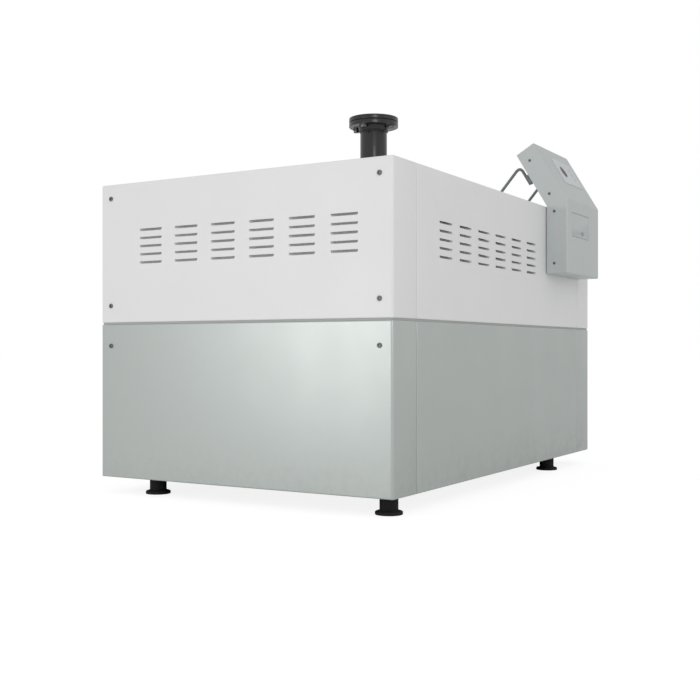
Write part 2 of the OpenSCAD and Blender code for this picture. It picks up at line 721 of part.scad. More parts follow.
// The display board behind the slope, the main board and the terminal strip.
module circuit_boards() color("darkgreen") at_box() {
  at_slope(bezel_x + 10, bezel_s - 30) {
    translate([0, 0, -22]) cube([bezel_w - 20, bezel_h + 30, 2]);
    for (x = [8, bezel_w - 36], y = [10, bezel_h + 12])
      translate([x, y, -20]) cube([8, 8, 20 - box_t]);
  }
  back_in = back_out + box_t;
  translate([30, -back_in - 8, 40 - box_drop]) cube([box_w - 60, 2, 170]);
  for (x = [40, box_w - 48], z = [50 - box_drop, 196 - box_drop])
    translate([x, -back_in - 6, z]) cube([8, 6, 8]);
  translate([40, -back_in - 24, 14 - box_drop]) cube([box_w - 80, 24, 20]);
}

// ---- gas pipe and flanges ------------------------------------------------

module at_pipe(z) at_cabinet() translate([pipe_x, mid_y, z]) children();

module bolt_circle(n, pcd) for (i = [0:n - 1]) rotate([0, 0, i * 360 / n])
  translate([pcd / 2, 0, 0]) children();

module gas_pipe() color("black") at_pipe(valve_z + valve_h)
  ring(pipe_d / 2, pipe_d / 2 - pipe_wall, flange_z + flange_t - valve_z - valve_h);

module pipe_flange() color("black") at_pipe(flange_z) difference() {
  union() {
    cylinder(d = flange_d, h = flange_t, $fn = 96);
    translate([0, 0, -hub_h]) cylinder(d1 = pipe_d + 8, d2 = pipe_d + 2 * hub_wall, h = hub_h, $fn = fine);
  }
  translate([0, 0, -hub_h - eps])
    cylinder(r = pipe_d / 2 + pipe_gap, h = flange_t + hub_h + 2 * eps, $fn = fine);
  bolt_circle(4, flange_pcd) translate([0, 0, -eps])
    cylinder(r = bolt_hole_r, h = flange_t + 2 * eps, $fn = 32);
}

module flange_gasket() color("dimgray") at_pipe(flange_z + flange_t)
  ring(flange_pcd / 2 - bolt_d / 2 - 2, pipe_d / 2 + 3, gasket_t);

module counter_flange() color("black") at_pipe(counter_z) difference() {
  cylinder(d = flange_d, h = flange_t, $fn = 96);
  translate([0, 0, -eps]) cylinder(d = pipe_d + socket_play, h = flange_t + 2 * eps, $fn = fine);
  bolt_circle(4, flange_pcd) translate([0, 0, -eps])
    cylinder(d = bolt_d + 2 * shaft_gap, h = flange_t + 2 * eps, $fn = 32);
}

// Four bolts from below, each with a washer, screwed into the counter flange.
module flange_bolts() color("darkslategray") at_pipe(flange_z) bolt_circle(4, flange_pcd) {
  translate([0, 0, -washer_h]) cylinder(d = bolt_d * 1.875, h = washer_h, $fn = 32);
  translate([0, 0, -washer_h - bolt_head_h]) cylinder(d = bolt_d * 1.73, h = bolt_head_h, $fn = 6);
  cylinder(d = bolt_d, h = 2 * flange_t + gasket_t - 1, $fn = 32);
}

module gas_valve_body() color("goldenrod") at_pipe(valve_z) difference() {
  union() {
    cylinder(r = valve_r, h = valve_h, $fn = fine);
    translate([0, 0, valve_h / 2]) along_front() cylinder(r = 20, h = valve_r + 20, $fn = fine);
  }
  translate([0, 0, -eps]) cylinder(r = ball_r - 12, h = valve_h + 2 * eps, $fn = fine);
  translate([0, 0, valve_h / 2]) sphere(r = ball_r + run_gap, $fn = fine);
  translate([0, 0, valve_h / 2]) along_front()
    cylinder(r = shaft_r + shaft_gap, h = valve_r + 30, $fn = fine);
}

module gas_valve_ball() color("silver") at_pipe(valve_mid) difference() {
  union() {
    sphere(r = ball_r, $fn = fine);
    along_front() cylinder(r = shaft_r, h = mid_y - lever_y + 8, $fn = fine);
  }
  translate([0, 0, -ball_r]) cylinder(r = ball_r - 13, h = 2 * ball_r, $fn = fine);
}

module gas_valve_lever() color("firebrick") at_cabinet() translate([pipe_x, lever_y, valve_mid]) {
  difference() {
    union() {
      along_front() cylinder(r = 18, h = 6, $fn = fine);
      translate([-11, -6, -lever_l]) cube([22, 6, lever_l]);
    }
    translate([0, eps, 0]) along_front() cylinder(r = shaft_r + shaft_gap, h = 8 + eps, $fn = fine);
  }
}

// The gas control block: a cast body with two magnet coils behind it.
module gas_control_block() color("gray") at_cabinet()
  translate([pipe_x - block_s / 2, mid_y - block_s / 2, block_z]) difference() {
    union() {
      cube([block_s, block_s, block_s]);
      for (x = [0.28, 0.72]) translate([block_s * x, block_s + 70, block_s / 2]) along_front()
        cylinder(r = 30, h = 71, $fn = fine);
    }
    translate([block_s / 2, block_s / 2, block_s / 2]) cylinder(r = 34, h = block_s, $fn = fine);
    translate([-eps, block_s / 2, block_s / 2]) along_x() cylinder(r = 32, h = block_s / 2, $fn = fine);
  }

// The mixer's throat narrows between the gas block and the fan, and its air
// inlet stands on top.
module air_gas_mixer() color("lightgray") at_cabinet() translate([fan_x1, mid_y, fan_z]) difference() {
  l = pipe_x - block_s / 2 - fan_x1;
  union() {
    along_x() cylinder(r = 66, h = 10, $fn = fine);
    along_x() cylinder(r1 = 62, r2 = 44, h = l / 2, $fn = fine);
    translate([l / 2, 0, 0]) along_x() cylinder(r = 44, h = l / 2, $fn = fine);
    translate([l - 10, 0, 0]) along_x() cylinder(r = 60, h = 10, $fn = fine);
    translate([l * 0.3, 0, 0]) cylinder(r = 34, h = 110, $fn = fine);
  }
  translate([-eps, 0, 0]) along_x() cylinder(r = 34, h = l + 2 * eps, $fn = fine);
  translate([l * 0.3, 0, 0]) cylinder(r = 28, h = 110 + eps, $fn = fine);
}

// ---- fan -----------------------------------------------------------------

duct_w = 90;

// The spiral housing, simplified to a drum with an outlet duct down its back.
module fan_housing() color("silver") at_cabinet() translate([fan_x0, mid_y, fan_z]) difference() {
  t = shell_t;
  union() {
    along_x() cylinder(r = fan_r, h = fan_w, $fn = 96);
    translate([0, fan_r - duct_w, -fan_up]) cube([fan_w, duct_w, fan_up]);
  }
  translate([t, 0, 0]) along_x() cylinder(r = fan_r - t, h = fan_w - 2 * t, $fn = 96);
  translate([t, fan_r - duct_w + t, -fan_up - eps]) cube([fan_w - 2 * t, duct_w - 2 * t, fan_up + eps]);
  translate([fan_w - 2 * t, 0, 0]) along_x() cylinder(r = 44, h = 3 * t, $fn = fine);
  translate([-eps, 0, 0]) along_x() cylinder(r = shaft_r + 4, h = 2 * t, $fn = fine);
}

// The impeller: a back plate, a front ring and straight blades between them.
module fan_impeller() color("lightsteelblue") at_cabinet()
  translate([fan_x0 + 14, mid_y, fan_z]) along_x() difference() {
    depth = fan_w - 34;
    union() {
      cylinder(r = impeller_r, h = 3, $fn = fine);
      translate([0, 0, depth - 3]) ring(impeller_r, impeller_r - 50, 3);
      cylinder(r = 26, h = depth / 2, $fn = fine);
      for (i = [0:blade_count - 1]) rotate([0, 0, i * 360 / blade_count])
        translate([impeller_r - 56, -1.5, 0]) cube([54, 3, depth]);
    }
    translate([0, 0, -eps]) cylinder(r = shaft_r + shaft_gap, h = fan_w, $fn = fine);
  }

module fan_shaft() color("silver") at_cabinet()
  translate([fan_x0 - motor_l + 20, mid_y, fan_z]) along_x()
    cylinder(r = shaft_r, h = motor_l - 20 + 14 + (fan_w - 34) / 2, $fn = fine);

module fan_motor() color("dimgray") at_cabinet() translate([fan_x0, mid_y, fan_z])
  mirror([1, 0, 0]) along_x() difference() {
    union() {
      cylinder(r = motor_r, h = motor_l, $fn = fine);
      cylinder(r = motor_r + 15, h = 8, $fn = fine);
      for (i = [0:11]) rotate([0, 0, i * 30])
        translate([motor_r - 2, -2, 20]) cube([8, 4, motor_l - 40]);
    }
    translate([0, 0, -eps]) cylinder(r = shaft_r + shaft_gap, h = motor_l - 15, $fn = fine);
  }

// ---- burner, heat exchanger and exhaust ------------------------------------

plenum_x = hx_x + 60;
plenum_l = hx_l - 250;
plenum_w = hx_w - 100;

module burner_plenum() color("silver") at_cabinet()
  translate([plenum_x, mid_y - plenum_w / 2, plenum_z]) difference() {
    cube([plenum_l, plenum_w, plenum_h]);
    translate([shell_t, shell_t, -eps])
      cube([plenum_l - 2 * shell_t, plenum_w - 2 * shell_t, plenum_h - shell_t + eps]);
    translate([fan_x0 + shell_t - plenum_x, plenum_w / 2 + fan_r - duct_w + shell_t, 0])
      cube([fan_w - 2 * shell_t, duct_w - 2 * shell_t, plenum_h + eps]);
  }

// The plate between plenum and chamber, with a row of flame slots under the plenum.
module burner_plate() color("gray") at_cabinet() translate([hx_x, hx_y, burner_z]) difference() {
  cube([hx_l, hx_w, burner_t]);
  for (i = [0:19]) translate([plenum_x - hx_x + 40 + i * (plenum_l - 80) / 20, hx_w / 2 - 150, -eps])
    cube([10, 300, burner_t + 2 * eps]);
}

electrode_x = plenum_x + 60;

module combustion_chamber() color("dimgray") at_cabinet() translate([hx_x + tube_sheet_t, hx_y, chamber_z])
  for (rear = [0, 1]) translate([0, rear * (hx_w - shell_t), 0]) difference() {
    cube([hx_l - 2 * tube_sheet_t, shell_t, chamber_h]);
    if (rear == 0) translate([electrode_x - hx_x - tube_sheet_t, 20, chamber_h - 30]) along_front()
      cylinder(r = 8 + shaft_gap, h = 40, $fn = fine);
  }

board_t = 40;

module insulation_boards() color("khaki") at_cabinet() translate([hx_x + tube_sheet_t, hx_y, chamber_z])
  for (rear = [0, 1]) translate([0, rear == 1 ? hx_w : -board_t, 0]) difference() {
    cube([hx_l - 2 * tube_sheet_t, board_t, chamber_h]);
    if (rear == 0) translate([electrode_x - hx_x - tube_sheet_t, board_t + 20, chamber_h - 30])
      along_front() cylinder(r = 10, h = 100, $fn = fine);
  }

// The igniter: a ceramic body through the chamber's wall and its wire inside.
module ignition_electrode() color("white") at_cabinet()
  translate([electrode_x, hx_y + 30, chamber_z + chamber_h - 30]) along_front() {
    cylinder(r = 8, h = 30 + board_t + 30, $fn = fine);
    translate([0, 0, -50]) cylinder(r = 1.5, h = 50, $fn = 24);
  }

TUBE_ROWS = [0.32, 0.6];

module tube_spots() for (i = [0:tube_count - 1], row = TUBE_ROWS)
  translate([0, (i + 0.5) * hx_w / tube_count, row * chamber_h]) children();

// Two rows of water tubes between their end plates.
module tube_bundle() color("slategray") at_cabinet() translate([hx_x, hx_y, chamber_z]) difference() {
  union() {
    for (x = [0, hx_l - tube_sheet_t]) translate([x, 0, 0]) cube([tube_sheet_t, hx_w, chamber_h]);
    tube_spots() translate([tube_sheet_t / 2, 0, 0]) along_x()
      cylinder(d = tube_d, h = hx_l - tube_sheet_t, $fn = 32);
  }
  tube_spots() translate([-eps, 0, 0]) along_x()
    cylinder(d = tube_d - 2 * tube_wall, h = hx_l + 2 * eps, $fn = 32);
}

// The water boxes at both ends of the tubes. The right one feeds the pipes.
module water_headers() color("darkslateblue") at_cabinet() for (right = [0, 1])
  translate([hx_x + right * hx_l, mid_y, chamber_z]) mirror([1 - right, 0, 0]) difference() {
    translate([0, -hx_w / 2, 0]) cube([header_l, hx_w, chamber_h]);
    translate([-eps, -hx_w / 2 + 6, 6]) cube([header_l - 6 + eps, hx_w - 12, chamber_h - 12]);
    if (right == 1) for (side = [-1, 1])
      translate([header_l - 10, side * water_side, water_z - chamber_z]) along_x()
        cylinder(d = water_d - 2 * water_wall, h = 20, $fn = fine);
  }

// The flow and the return pipe, each with a flange welded on outside the casing.
module water_connections() color("black") at_cabinet() for (side = [-1, 1])
  translate([hx_x + hx_l + header_l, mid_y + side * water_side, water_z]) along_x() {
    l = cabinet_l + side_out - hx_x - hx_l - header_l;
    difference() {
      union() {
        cylinder(d = water_d, h = l, $fn = fine);
        translate([0, 0, l - water_flange_t]) cylinder(d = water_flange_d, h = water_flange_t, $fn = 96);
      }
      translate([0, 0, -eps]) cylinder(d = water_d - 2 * water_wall, h = l + 2 * eps, $fn = fine);
      translate([0, 0, l - water_flange_t - eps]) rotate([0, 0, 45]) bolt_circle(4, water_pcd)
        cylinder(r = bolt_hole_r, h = water_flange_t + 2 * eps, $fn = 32);
    }
  }

// The box under the tubes that gathers the burnt gas, on four pads.
module exhaust_collector() color("silver") at_cabinet() {
  t = shell_t;
  l = collector_x1 - hx_x;
  translate([hx_x, hx_y, collector_z]) difference() {
    cube([l, hx_w, collector_h]);
    translate([t, t, t]) cube([l - 2 * t, hx_w - 2 * t, collector_h - 2 * t]);
    translate([tube_sheet_t, t, collector_h - 2 * t])
      cube([hx_l - 2 * tube_sheet_t, hx_w - 2 * t, 3 * t]);
    translate([l - 2 * t, hx_w / 2, flue_z - collector_z]) along_x()
      cylinder(d = flue_d - 2, h = 3 * t, $fn = fine);
  }
  for (x = BEARER_X, side = [-1, 1]) translate([x, mid_y + side * 200 - 20, base_h])
    cube([base_w, 40, collector_z - base_h]);
}

module flue_outlet() color("silver") at_cabinet() translate([collector_x1, mid_y, flue_z])
  along_x() ring(flue_d / 2 + flue_wall, flue_d / 2, cabinet_l + side_out - 10 - collector_x1);

base_frame();
foot_sleeves();
foot(FEET[0]);  // foot_front_left
foot(FEET[1]);  // foot_front_right
foot(FEET[2]);  // foot_rear_left
foot(FEET[3]);  // foot_rear_right
corner_posts();
belt_rails();
top_frame();
left_upper_panel();
left_lower_panel();
right_upper_panel();
right_lower_panel();
front_upper_panel();
front_lower_panel();
rear_upper_panel();
rear_lower_panel();
top_covers();
pipe_rosettes();
panel_screws();
box_back();
box_cover();
box_screws();
box_stays();
display_bezel();
display_window();
key(0);  // key_down
key(1);  // key_up
key(2);  // key_enter
service_flap();
flap_pin();
flap_lock();
switch_panel();
power_switch();
reset_button();
circuit_boards();
gas_pipe();
pipe_flange();
flange_gasket();
counter_flange();
flange_bolts();
gas_valve_body();
gas_valve_ball();
gas_valve_lever();
gas_control_block();
air_gas_mixer();
fan_housing();
fan_impeller();
fan_shaft();
fan_motor();
burner_plenum();
burner_plate();
combustion_chamber();
insulation_boards();
ignition_electrode();
tube_bundle();
water_headers();
water_connections();
exhaust_collector();
flue_outlet();
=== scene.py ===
# %% [markdown]
# # A floor-standing gas boiler, finished in Blender
# The exact model of the boiler is already there as a set of CAD nodes, each in
# its right place. This file dresses it. It replaces the sheet-metal pieces,
# fittings and knobs whose edges show with finer surfaces, gives every piece a
# finish, and sets up the floor, the light and the camera.
#
# We begin by loading the frame.

# %% Load the frame
import math

import bmesh
import bpy
import numpy as np
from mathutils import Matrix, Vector
from mathutils.geometry import delaunay_2d_cdt


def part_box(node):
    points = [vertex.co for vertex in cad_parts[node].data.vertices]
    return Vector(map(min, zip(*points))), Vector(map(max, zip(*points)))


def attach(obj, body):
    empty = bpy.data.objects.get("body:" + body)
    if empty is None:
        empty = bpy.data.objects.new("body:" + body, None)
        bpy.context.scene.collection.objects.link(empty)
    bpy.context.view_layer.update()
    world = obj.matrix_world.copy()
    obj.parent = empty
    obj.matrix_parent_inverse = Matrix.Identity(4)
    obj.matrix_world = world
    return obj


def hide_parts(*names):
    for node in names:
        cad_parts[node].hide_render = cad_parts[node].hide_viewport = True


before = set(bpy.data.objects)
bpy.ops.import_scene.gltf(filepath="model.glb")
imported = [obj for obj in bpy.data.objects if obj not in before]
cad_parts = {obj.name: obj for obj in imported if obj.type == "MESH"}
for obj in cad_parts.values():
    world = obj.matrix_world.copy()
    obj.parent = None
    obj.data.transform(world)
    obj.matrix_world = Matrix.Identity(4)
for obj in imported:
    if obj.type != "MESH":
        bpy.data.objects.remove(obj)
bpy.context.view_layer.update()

# %% [markdown]
# A sheet-metal worker measures everything from one corner of the casing. We do
# the same: millimetres from the front lower left corner, X to the right, Y to
# the back, Z up. The casing's corner and size come from the CAD nodes, so the
# pieces below follow them.

# %% The casing's own measures
left_low, right_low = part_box("left_lower_panel"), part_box("right_lower_panel")
left_up, front_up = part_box("left_upper_panel"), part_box("front_upper_panel")
CORNER = np.array(left_low[0])
LENGTH = (right_low[1].x - left_low[0].x) * 1000
WIDTH = (left_low[1].y - left_low[0].y) * 1000
HEIGHT = (left_up[1].z - left_low[0].z) * 1000
SEAM_LOW = (left_low[1].z - CORNER[2]) * 1000
SEAM_UP = (left_up[0].z - CORNER[2]) * 1000
RETURN = (left_low[1].x - CORNER[0]) * 1000
FLAT_X0 = (front_up[0].x - CORNER[0]) * 1000
FLAT_X1 = (front_up[1].x - CORNER[0]) * 1000


def metres(points):
    """Casing millimetres to metres in the frame: divide by 1000, add the corner."""
    return np.asarray(points, float) / 1000 + CORNER


def local(node):
    """A CAD node's box as two corners in casing millimetres."""
    return [(np.array(c) - CORNER) * 1000 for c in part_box(node)]


print("casing", round(LENGTH), "x", round(WIDTH), "x", round(HEIGHT), "mm")

# %% [markdown]
# ## Surfaces from numbers
# Every new piece is built from patches. A patch is either a grid of points, a
# shape worked out as a function of two parameters, or a flat face cut out by
# outlines. Patches that share an edge use the same points there, so merging
# doubles closes the piece. The grid comes first: it only has to know which
# points are neighbours.

# %% A grid of points


def grid(points, closed=False, skip=()):
    """Joins points[i, j] to its neighbours (i + 1, j), (i + 1, j + 1), (i, j + 1).

    closed joins the last column to the first. skip lists quads to leave open."""
    rows, cols = points.shape[:2]
    index = np.arange(rows * cols).reshape(rows, cols)
    if closed:
        index = np.hstack([index, index[:, :1]])
    quads = np.stack([index[:-1, :-1], index[1:, :-1], index[1:, 1:], index[:-1, 1:]], -1)
    keep = np.ones(quads.shape[:2], bool)
    for row, col in skip:
        keep[row, col] = False
    return points.reshape(-1, 3), quads[keep]


print("a grid of 3 by 4 points has", len(grid(np.zeros((3, 4, 3)))[1]), "faces")

# %% [markdown]
# A flat face with slots or pipe holes is a shape that no grid fits. A Boolean
# cut could make it, but leaves thin faces along the cut, and the pockets behind
# the slots would not meet it point for point. So the outlines' own points are
# joined into triangles, and we keep the triangles whose middle lies inside the
# outer loop and outside every hole.

# %% Flat faces with holes


def inside(points, loop):
    """True where a point lies in a loop: a ray to +X crosses its edges an odd number of times."""
    a, b = loop, np.roll(loop, -1, 0)
    x, y = points[:, None, 0], points[:, None, 1]
    spans = (a[:, 1] > y) != (b[:, 1] > y)
    rise = np.where(b[:, 1] == a[:, 1], 1, b[:, 1] - a[:, 1])
    at = a[:, 0] + (y - a[:, 1]) / rise * (b[:, 0] - a[:, 0])
    return (spans & (x < at)).sum(1) % 2 == 1


def flat(loops, lift):
    """A face inside the first loop and outside the others, in triangles.

    lift turns its plane points (n, 2) into space points (n, 3)."""
    plane = np.vstack(loops)
    starts = np.cumsum([0] + [len(loop) for loop in loops])
    edges = [(int(s + k), int(s + (k + 1) % (e - s)))
             for s, e in zip(starts[:-1], starts[1:]) for k in range(e - s)]
    out = delaunay_2d_cdt([Vector(p) for p in plane.tolist()], edges, [], 0, 1e-7)
    flat_points = np.array([tuple(p) for p in out[0]])
    tris = np.array(out[2])
    middle = flat_points[tris].mean(1)
    keep = inside(middle, loops[0])
    for hole in loops[1:]:
        keep &= ~inside(middle, hole)
    return lift(flat_points), tris[keep]


# %% [markdown]
# Outlines are loops of plane points. A pipe hole is a circle and a folded tray
# is a rectangle with rounded corners. A fold in sheet metal is part of a circle
# too, and is kept as two numbers: how far the sheet has gone along, and how far
# it has turned away.

# %% Outlines and bends


def circle(radius, count=64, middle=(0, 0)):
    """Points at equal angles round a middle."""
    angle = np.arange(count) * 2 * np.pi / count
    return np.stack([np.cos(angle), np.sin(angle)], 1) * radius + middle


def rounded(x0, x1, y0, y1, radius, count=6):
    """A rectangle with a quarter circle of that radius at each corner."""
    angle = np.linspace(0, np.pi / 2, count + 1)
    corners = [(x1, y0, -1, 1), (x1, y1, -1, -1), (x0, y1, 1, -1), (x0, y0, 1, 1)]
    parts = []
    for turn, (x, y, sx, sy) in enumerate(corners):
        a = angle + (turn - 1) * np.pi / 2
        parts.append(np.stack([x + sx * radius + radius * np.cos(a),
                               y + sy * radius + radius * np.sin(a)], 1))
    return np.vstack(parts)


def bend(radius, steps, start=0.0, stop=90.0):
    """An arc's (sine, 1 - cosine) pairs times the radius, from start to stop degrees."""
    a = np.radians(np.linspace(start, stop, steps + 1))
    return radius * np.sin(a), radius * (1 - np.cos(a))


washer = flat([circle(1.0), circle(0.5)], lambda plane: plane)
print("a washer has", len(washer[0]), "points and", len(washer[1]), "triangles")

# %% [markdown]
# Shading is smooth, but a flat face has to stay flat beside its rounded edges.
# Splitting the mesh there would do it and open the piece. Marking edges sharp
# keeps it closed: an edge is sharp where two faces meet at a steep angle, and
# also all round each flat face.

# %% Sharp edges
STEEP = 35


def mark_sharp(mesh, degrees):
    """Sharp edges: steep ones, and those where a flat face meets another patch.

    Each edge's lowest and highest patch number are gathered over its corners."""
    mesh.polygons.foreach_set("use_smooth", np.ones(len(mesh.polygons), bool))
    mesh.set_sharp_from_angle(angle=math.radians(degrees))
    sharp = np.zeros(len(mesh.edges), bool)
    mesh.attributes["sharp_edge"].data.foreach_get("value", sharp)
    patch = np.zeros(len(mesh.polygons), np.int32)
    mesh.attributes["patch"].data.foreach_get("value", patch)
    sizes = np.zeros(len(mesh.polygons), np.int32)
    mesh.polygons.foreach_get("loop_total", sizes)
    edge = np.zeros(len(mesh.loops), np.int32)
    mesh.loops.foreach_get("edge_index", edge)
    owner = np.repeat(patch, sizes)
    low, high = np.full(len(sharp), 2 ** 30), np.full(len(sharp), -1)
    np.minimum.at(low, edge, owner)
    np.maximum.at(high, edge, owner)
    mesh.attributes["sharp_edge"].data.foreach_set("value", sharp | (low != high))
    mesh.attributes.remove(mesh.attributes["patch"])


print("edges steeper than", STEEP, "degrees are sharp")

# %% [markdown]
# A finished piece is a mesh whose points already sit in the frame. The builder
# below merges doubles, turns all faces outwards and gives a sheet its thickness
# with Solidify, applied at once so that sharp edges are found on the thick
# sheet. Then the piece rides on its body, and the CAD nodes it replaces are hidden.

# %% Make a piece
FINISH = {}
DOUBLES = 4e-6


def piece(name, patches, body, finish, nodes=(), out=None, wall=0.0):
    """Joins patches to one object that rides on a body and hides the CAD nodes it replaces.

    out is the way an open sheet faces. wall is the sheet's thickness in mm."""
    points, faces, owners, start = [], [], [], 0
    for number, (verts, cells) in enumerate(patches):
        points.append(metres(verts))
        faces += (cells + start).tolist()
        owners += [number + 1 if cells.shape[1] == 3 else 0] * len(cells)
        start += len(verts)
    mesh = bpy.data.meshes.new(name)
    mesh.from_pydata(np.vstack(points).tolist(), [], faces)
    mesh.attributes.new("patch", "INT", "FACE").data.foreach_set("value", owners)
    bm = bmesh.new()
    bm.from_mesh(mesh)
    bmesh.ops.remove_doubles(bm, verts=bm.verts, dist=DOUBLES)
    bmesh.ops.recalc_face_normals(bm, faces=bm.faces)
    if out is None:
        facing = bm.calc_volume(signed=True)
    else:
        facing = sum((f.normal * f.calc_area() for f in bm.faces), Vector()).dot(Vector(out))
    if facing < 0:
        bmesh.ops.reverse_faces(bm, faces=bm.faces)
    bm.to_mesh(mesh)
    bm.free()
    made = bpy.data.objects.new(name, mesh)
    bpy.context.scene.collection.objects.link(made)
    if wall:
        sheet = made.modifiers.new("sheet", "SOLIDIFY")
        sheet.thickness, sheet.offset, sheet.use_quality_normals = wall / 1000, -1, True
        thick = made.evaluated_get(bpy.context.evaluated_depsgraph_get())
        made.data = bpy.data.meshes.new_from_object(thick)
        made.modifiers.clear()
    mark_sharp(made.data, STEEP)
    made.data.materials.append(FINISH[finish])
    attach(made, body)
    if nodes:
        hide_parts(*nodes)
    print(f"{name}: {len(made.data.vertices)} points, {len(made.data.polygons)} faces")


def dress(finish, *nodes):
    """Gives CAD nodes a finish. Their meshes stay as they are."""
    for name in nodes:
        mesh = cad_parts[name].data
        mesh.materials.clear()
        mesh.materials.append(FINISH[finish])


print("points closer than", DOUBLES * 1000, "mm are merged")

# %% [markdown]
# ## Finishes
# A finish is a small program of nodes. Long chains of Math nodes are hard to
# read, so a number socket is wrapped in a class and ordinary Python sums build
# the nodes: 1 - mask adds a Subtract node.

# %% Shader arithmetic


class Value:
    """A number socket. Sums, differences and products of it add Math nodes."""

    def __init__(self, shader, socket):
        self.shader, self.socket = shader, socket

    def join(self, operation, a, b=0.0, clamp=False):
        """One Math node. Every sum below ends here."""
        made = self.shader.node("ShaderNodeMath", {"operation": operation, "use_clamp": clamp},
                                {0: a, 1: b})
        return Value(self.shader, made.outputs[0])

    def __add__(self, other):
        return self.join("ADD", self, other)

    def __sub__(self, other):
        return self.join("SUBTRACT", self, other)

    def __rsub__(self, other):
        return self.join("SUBTRACT", other, self)

    def __mul__(self, other):
        return self.join("MULTIPLY", self, other)

    def over(self, edge):
        """1 where the value is above the edge and 0 elsewhere."""
        return self.join("GREATER_THAN", self, edge)

    def fraction(self):
        """What the value has above a whole number."""
        return self.join("FRACT", self)

    def larger(self, other):
        return self.join("MAXIMUM", self, other)

    def ramp(self, low, high):
        """0 at low, 1 at high, straight between and held outside."""
        return self.join("MULTIPLY", self - low, 1 / (high - low), clamp=True)

    __radd__, __rmul__ = __add__, __mul__


print("sums that build nodes:", [name for name in vars(Value) if name.startswith("__r")])

# %% [markdown]
# Colours and vectors do not go through Math nodes, which would turn them grey.
# They and all other nodes come from one method that takes a node's type, its
# settings and what its sockets are given. All patterns read Object coordinates,
# which here are metres in the frame, so a scale of 800 means a detail of about a
# millimetre.

# %% One material


class Shader:
    """One material: its tree, its Principled shader and the object coordinates."""

    def __init__(self, name):
        self.material = bpy.data.materials.new(name)
        self.material.use_nodes = True
        self.tree = self.material.node_tree
        self.surface = self.tree.nodes["Principled BSDF"]
        self.place = self.node("ShaderNodeTexCoord").outputs["Object"]
        FINISH[name] = self.material

    def node(self, kind, settings=None, inputs=None):
        """Adds a node, sets its settings, then fills its sockets with values or links."""
        made = self.tree.nodes.new(kind)
        for key, value in (settings or {}).items():
            setattr(made, key, value)
        for key, value in (inputs or {}).items():
            value = value.socket if isinstance(value, Value) else value
            if isinstance(value, bpy.types.NodeSocket):
                self.tree.links.new(value, made.inputs[key])
            else:
                made.inputs[key].default_value = value
        return made

    def stretch(self, factors):
        """Object coordinates scaled per axis, so that a pattern runs along one of them."""
        made = self.node("ShaderNodeMapping", {}, {"Vector": self.place, "Scale": factors})
        return made.outputs[0]

    def noise(self, scale, detail=2.0, where=None, twist=0.0):
        """Soft clouds from 0 to 1. detail adds finer ones, twist swirls them."""
        made = self.node("ShaderNodeTexNoise", {}, {"Vector": where or self.place, "Scale": scale,
                                                    "Detail": detail, "Distortion": twist})
        return Value(self, made.outputs[0])

    def cells(self, scale):
        """The distance to the nearest of many scattered points."""
        made = self.node("ShaderNodeTexVoronoi", {}, {"Vector": self.place, "Scale": scale})
        return Value(self, made.outputs["Distance"])

    def axis(self, name):
        """One coordinate of the point, in metres."""
        made = self.node("ShaderNodeSeparateXYZ", {}, {0: self.place})
        return Value(self, made.outputs[name])

    def mix(self, share, first, second):
        """A colour between two colours, by a share from 0 to 1."""
        made = self.node("ShaderNodeMix", {"data_type": "RGBA"}, {0: share, 6: first, 7: second})
        return made.outputs[2]

    def bump(self, height):
        """A height in metres turned into a normal."""
        made = self.node("ShaderNodeBump", {}, {"Height": height, "Distance": 1.0})
        return made.outputs[0]

    def set(self, **sockets):
        """Fills the Principled shader: base_color fills Base Color, and so on."""
        for key, value in sockets.items():
            socket = self.surface.inputs[key.replace("_", " ").title()]
            value = value.socket if isinstance(value, Value) else value
            if isinstance(value, bpy.types.NodeSocket):
                self.tree.links.new(value, socket)
            else:
                socket.default_value = value


def shade(red, green=None, blue=None):
    """An on-screen colour, 0 to 255, as the linear colour that a shader wants."""
    levels = np.array([red, red if green is None else green, red if blue is None else blue]) / 255
    linear = np.where(levels <= 0.04045, levels / 12.92, ((levels + 0.055) / 1.055) ** 2.4)
    return (*linear.tolist(), 1.0)


print("mid grey on screen is", round(shade(128)[0], 3), "to the shader")

# %% [markdown]
# Powder coat is sprayed on dry and melted in an oven, so it levels out but never
# quite: under a lamp it shows a fine orange peel about a millimetre across. A
# thin sheet also waves a little between its folds, and near the floor a plant
# room leaves a trace of dust. The peel and the wave are bump, the dust is colour
# and roughness, and all of them are slight.

# %% Powder coats


def powder(name, colour, second, rough=0.42, metal=0.0):
    """Peel and wave as bump, clouds between two near colours, and dust low down.

    Dust is full below 60 mm, gone above 240 mm, and broken up by noise."""
    s = Shader(name)
    peel = s.noise(620, 2.0)
    wave = s.noise(2.6, 1.0)
    cloud = s.noise(5.0, 4.0)
    low = 1 - s.axis("Z").ramp(0.06, 0.24)
    dust = low * s.noise(34, 6.0).ramp(0.42, 0.75)
    base = s.mix(cloud.ramp(0.3, 0.75) * 0.5, colour, second)
    s.set(base_color=s.mix(dust * 0.10, base, shade(150, 146, 138)), metallic=metal,
          roughness=rough + (cloud - 0.5) * 0.10 + (peel - 0.5) * 0.06 + dust * 0.2,
          normal=s.bump(peel * 3.0e-5 + wave * 6.0e-4))


powder("white_coat", shade(234, 234, 234), shade(230, 230, 230))
powder("grey_coat", shade(193, 199, 196), shade(189, 195, 192), 0.37, 0.62)
powder("silver_coat", shade(199, 205, 204), shade(195, 201, 200), 0.38, 0.45)
powder("stay_coat", shade(128, 134, 134), shade(120, 126, 126), 0.36, 0.2)
powder("seal_grey", shade(176, 180, 179), shade(168, 172, 171), 0.8)
print("powder coats:", [n for n in FINISH])

# %% [markdown]
# Most other finishes are a base colour with soft clouds in it and a fine grain
# in the surface, stretched where the material was drawn, rolled or brushed. One
# function makes them all. Its grain gives the scale of the detail and its
# height in metres.

# %% Plain finishes


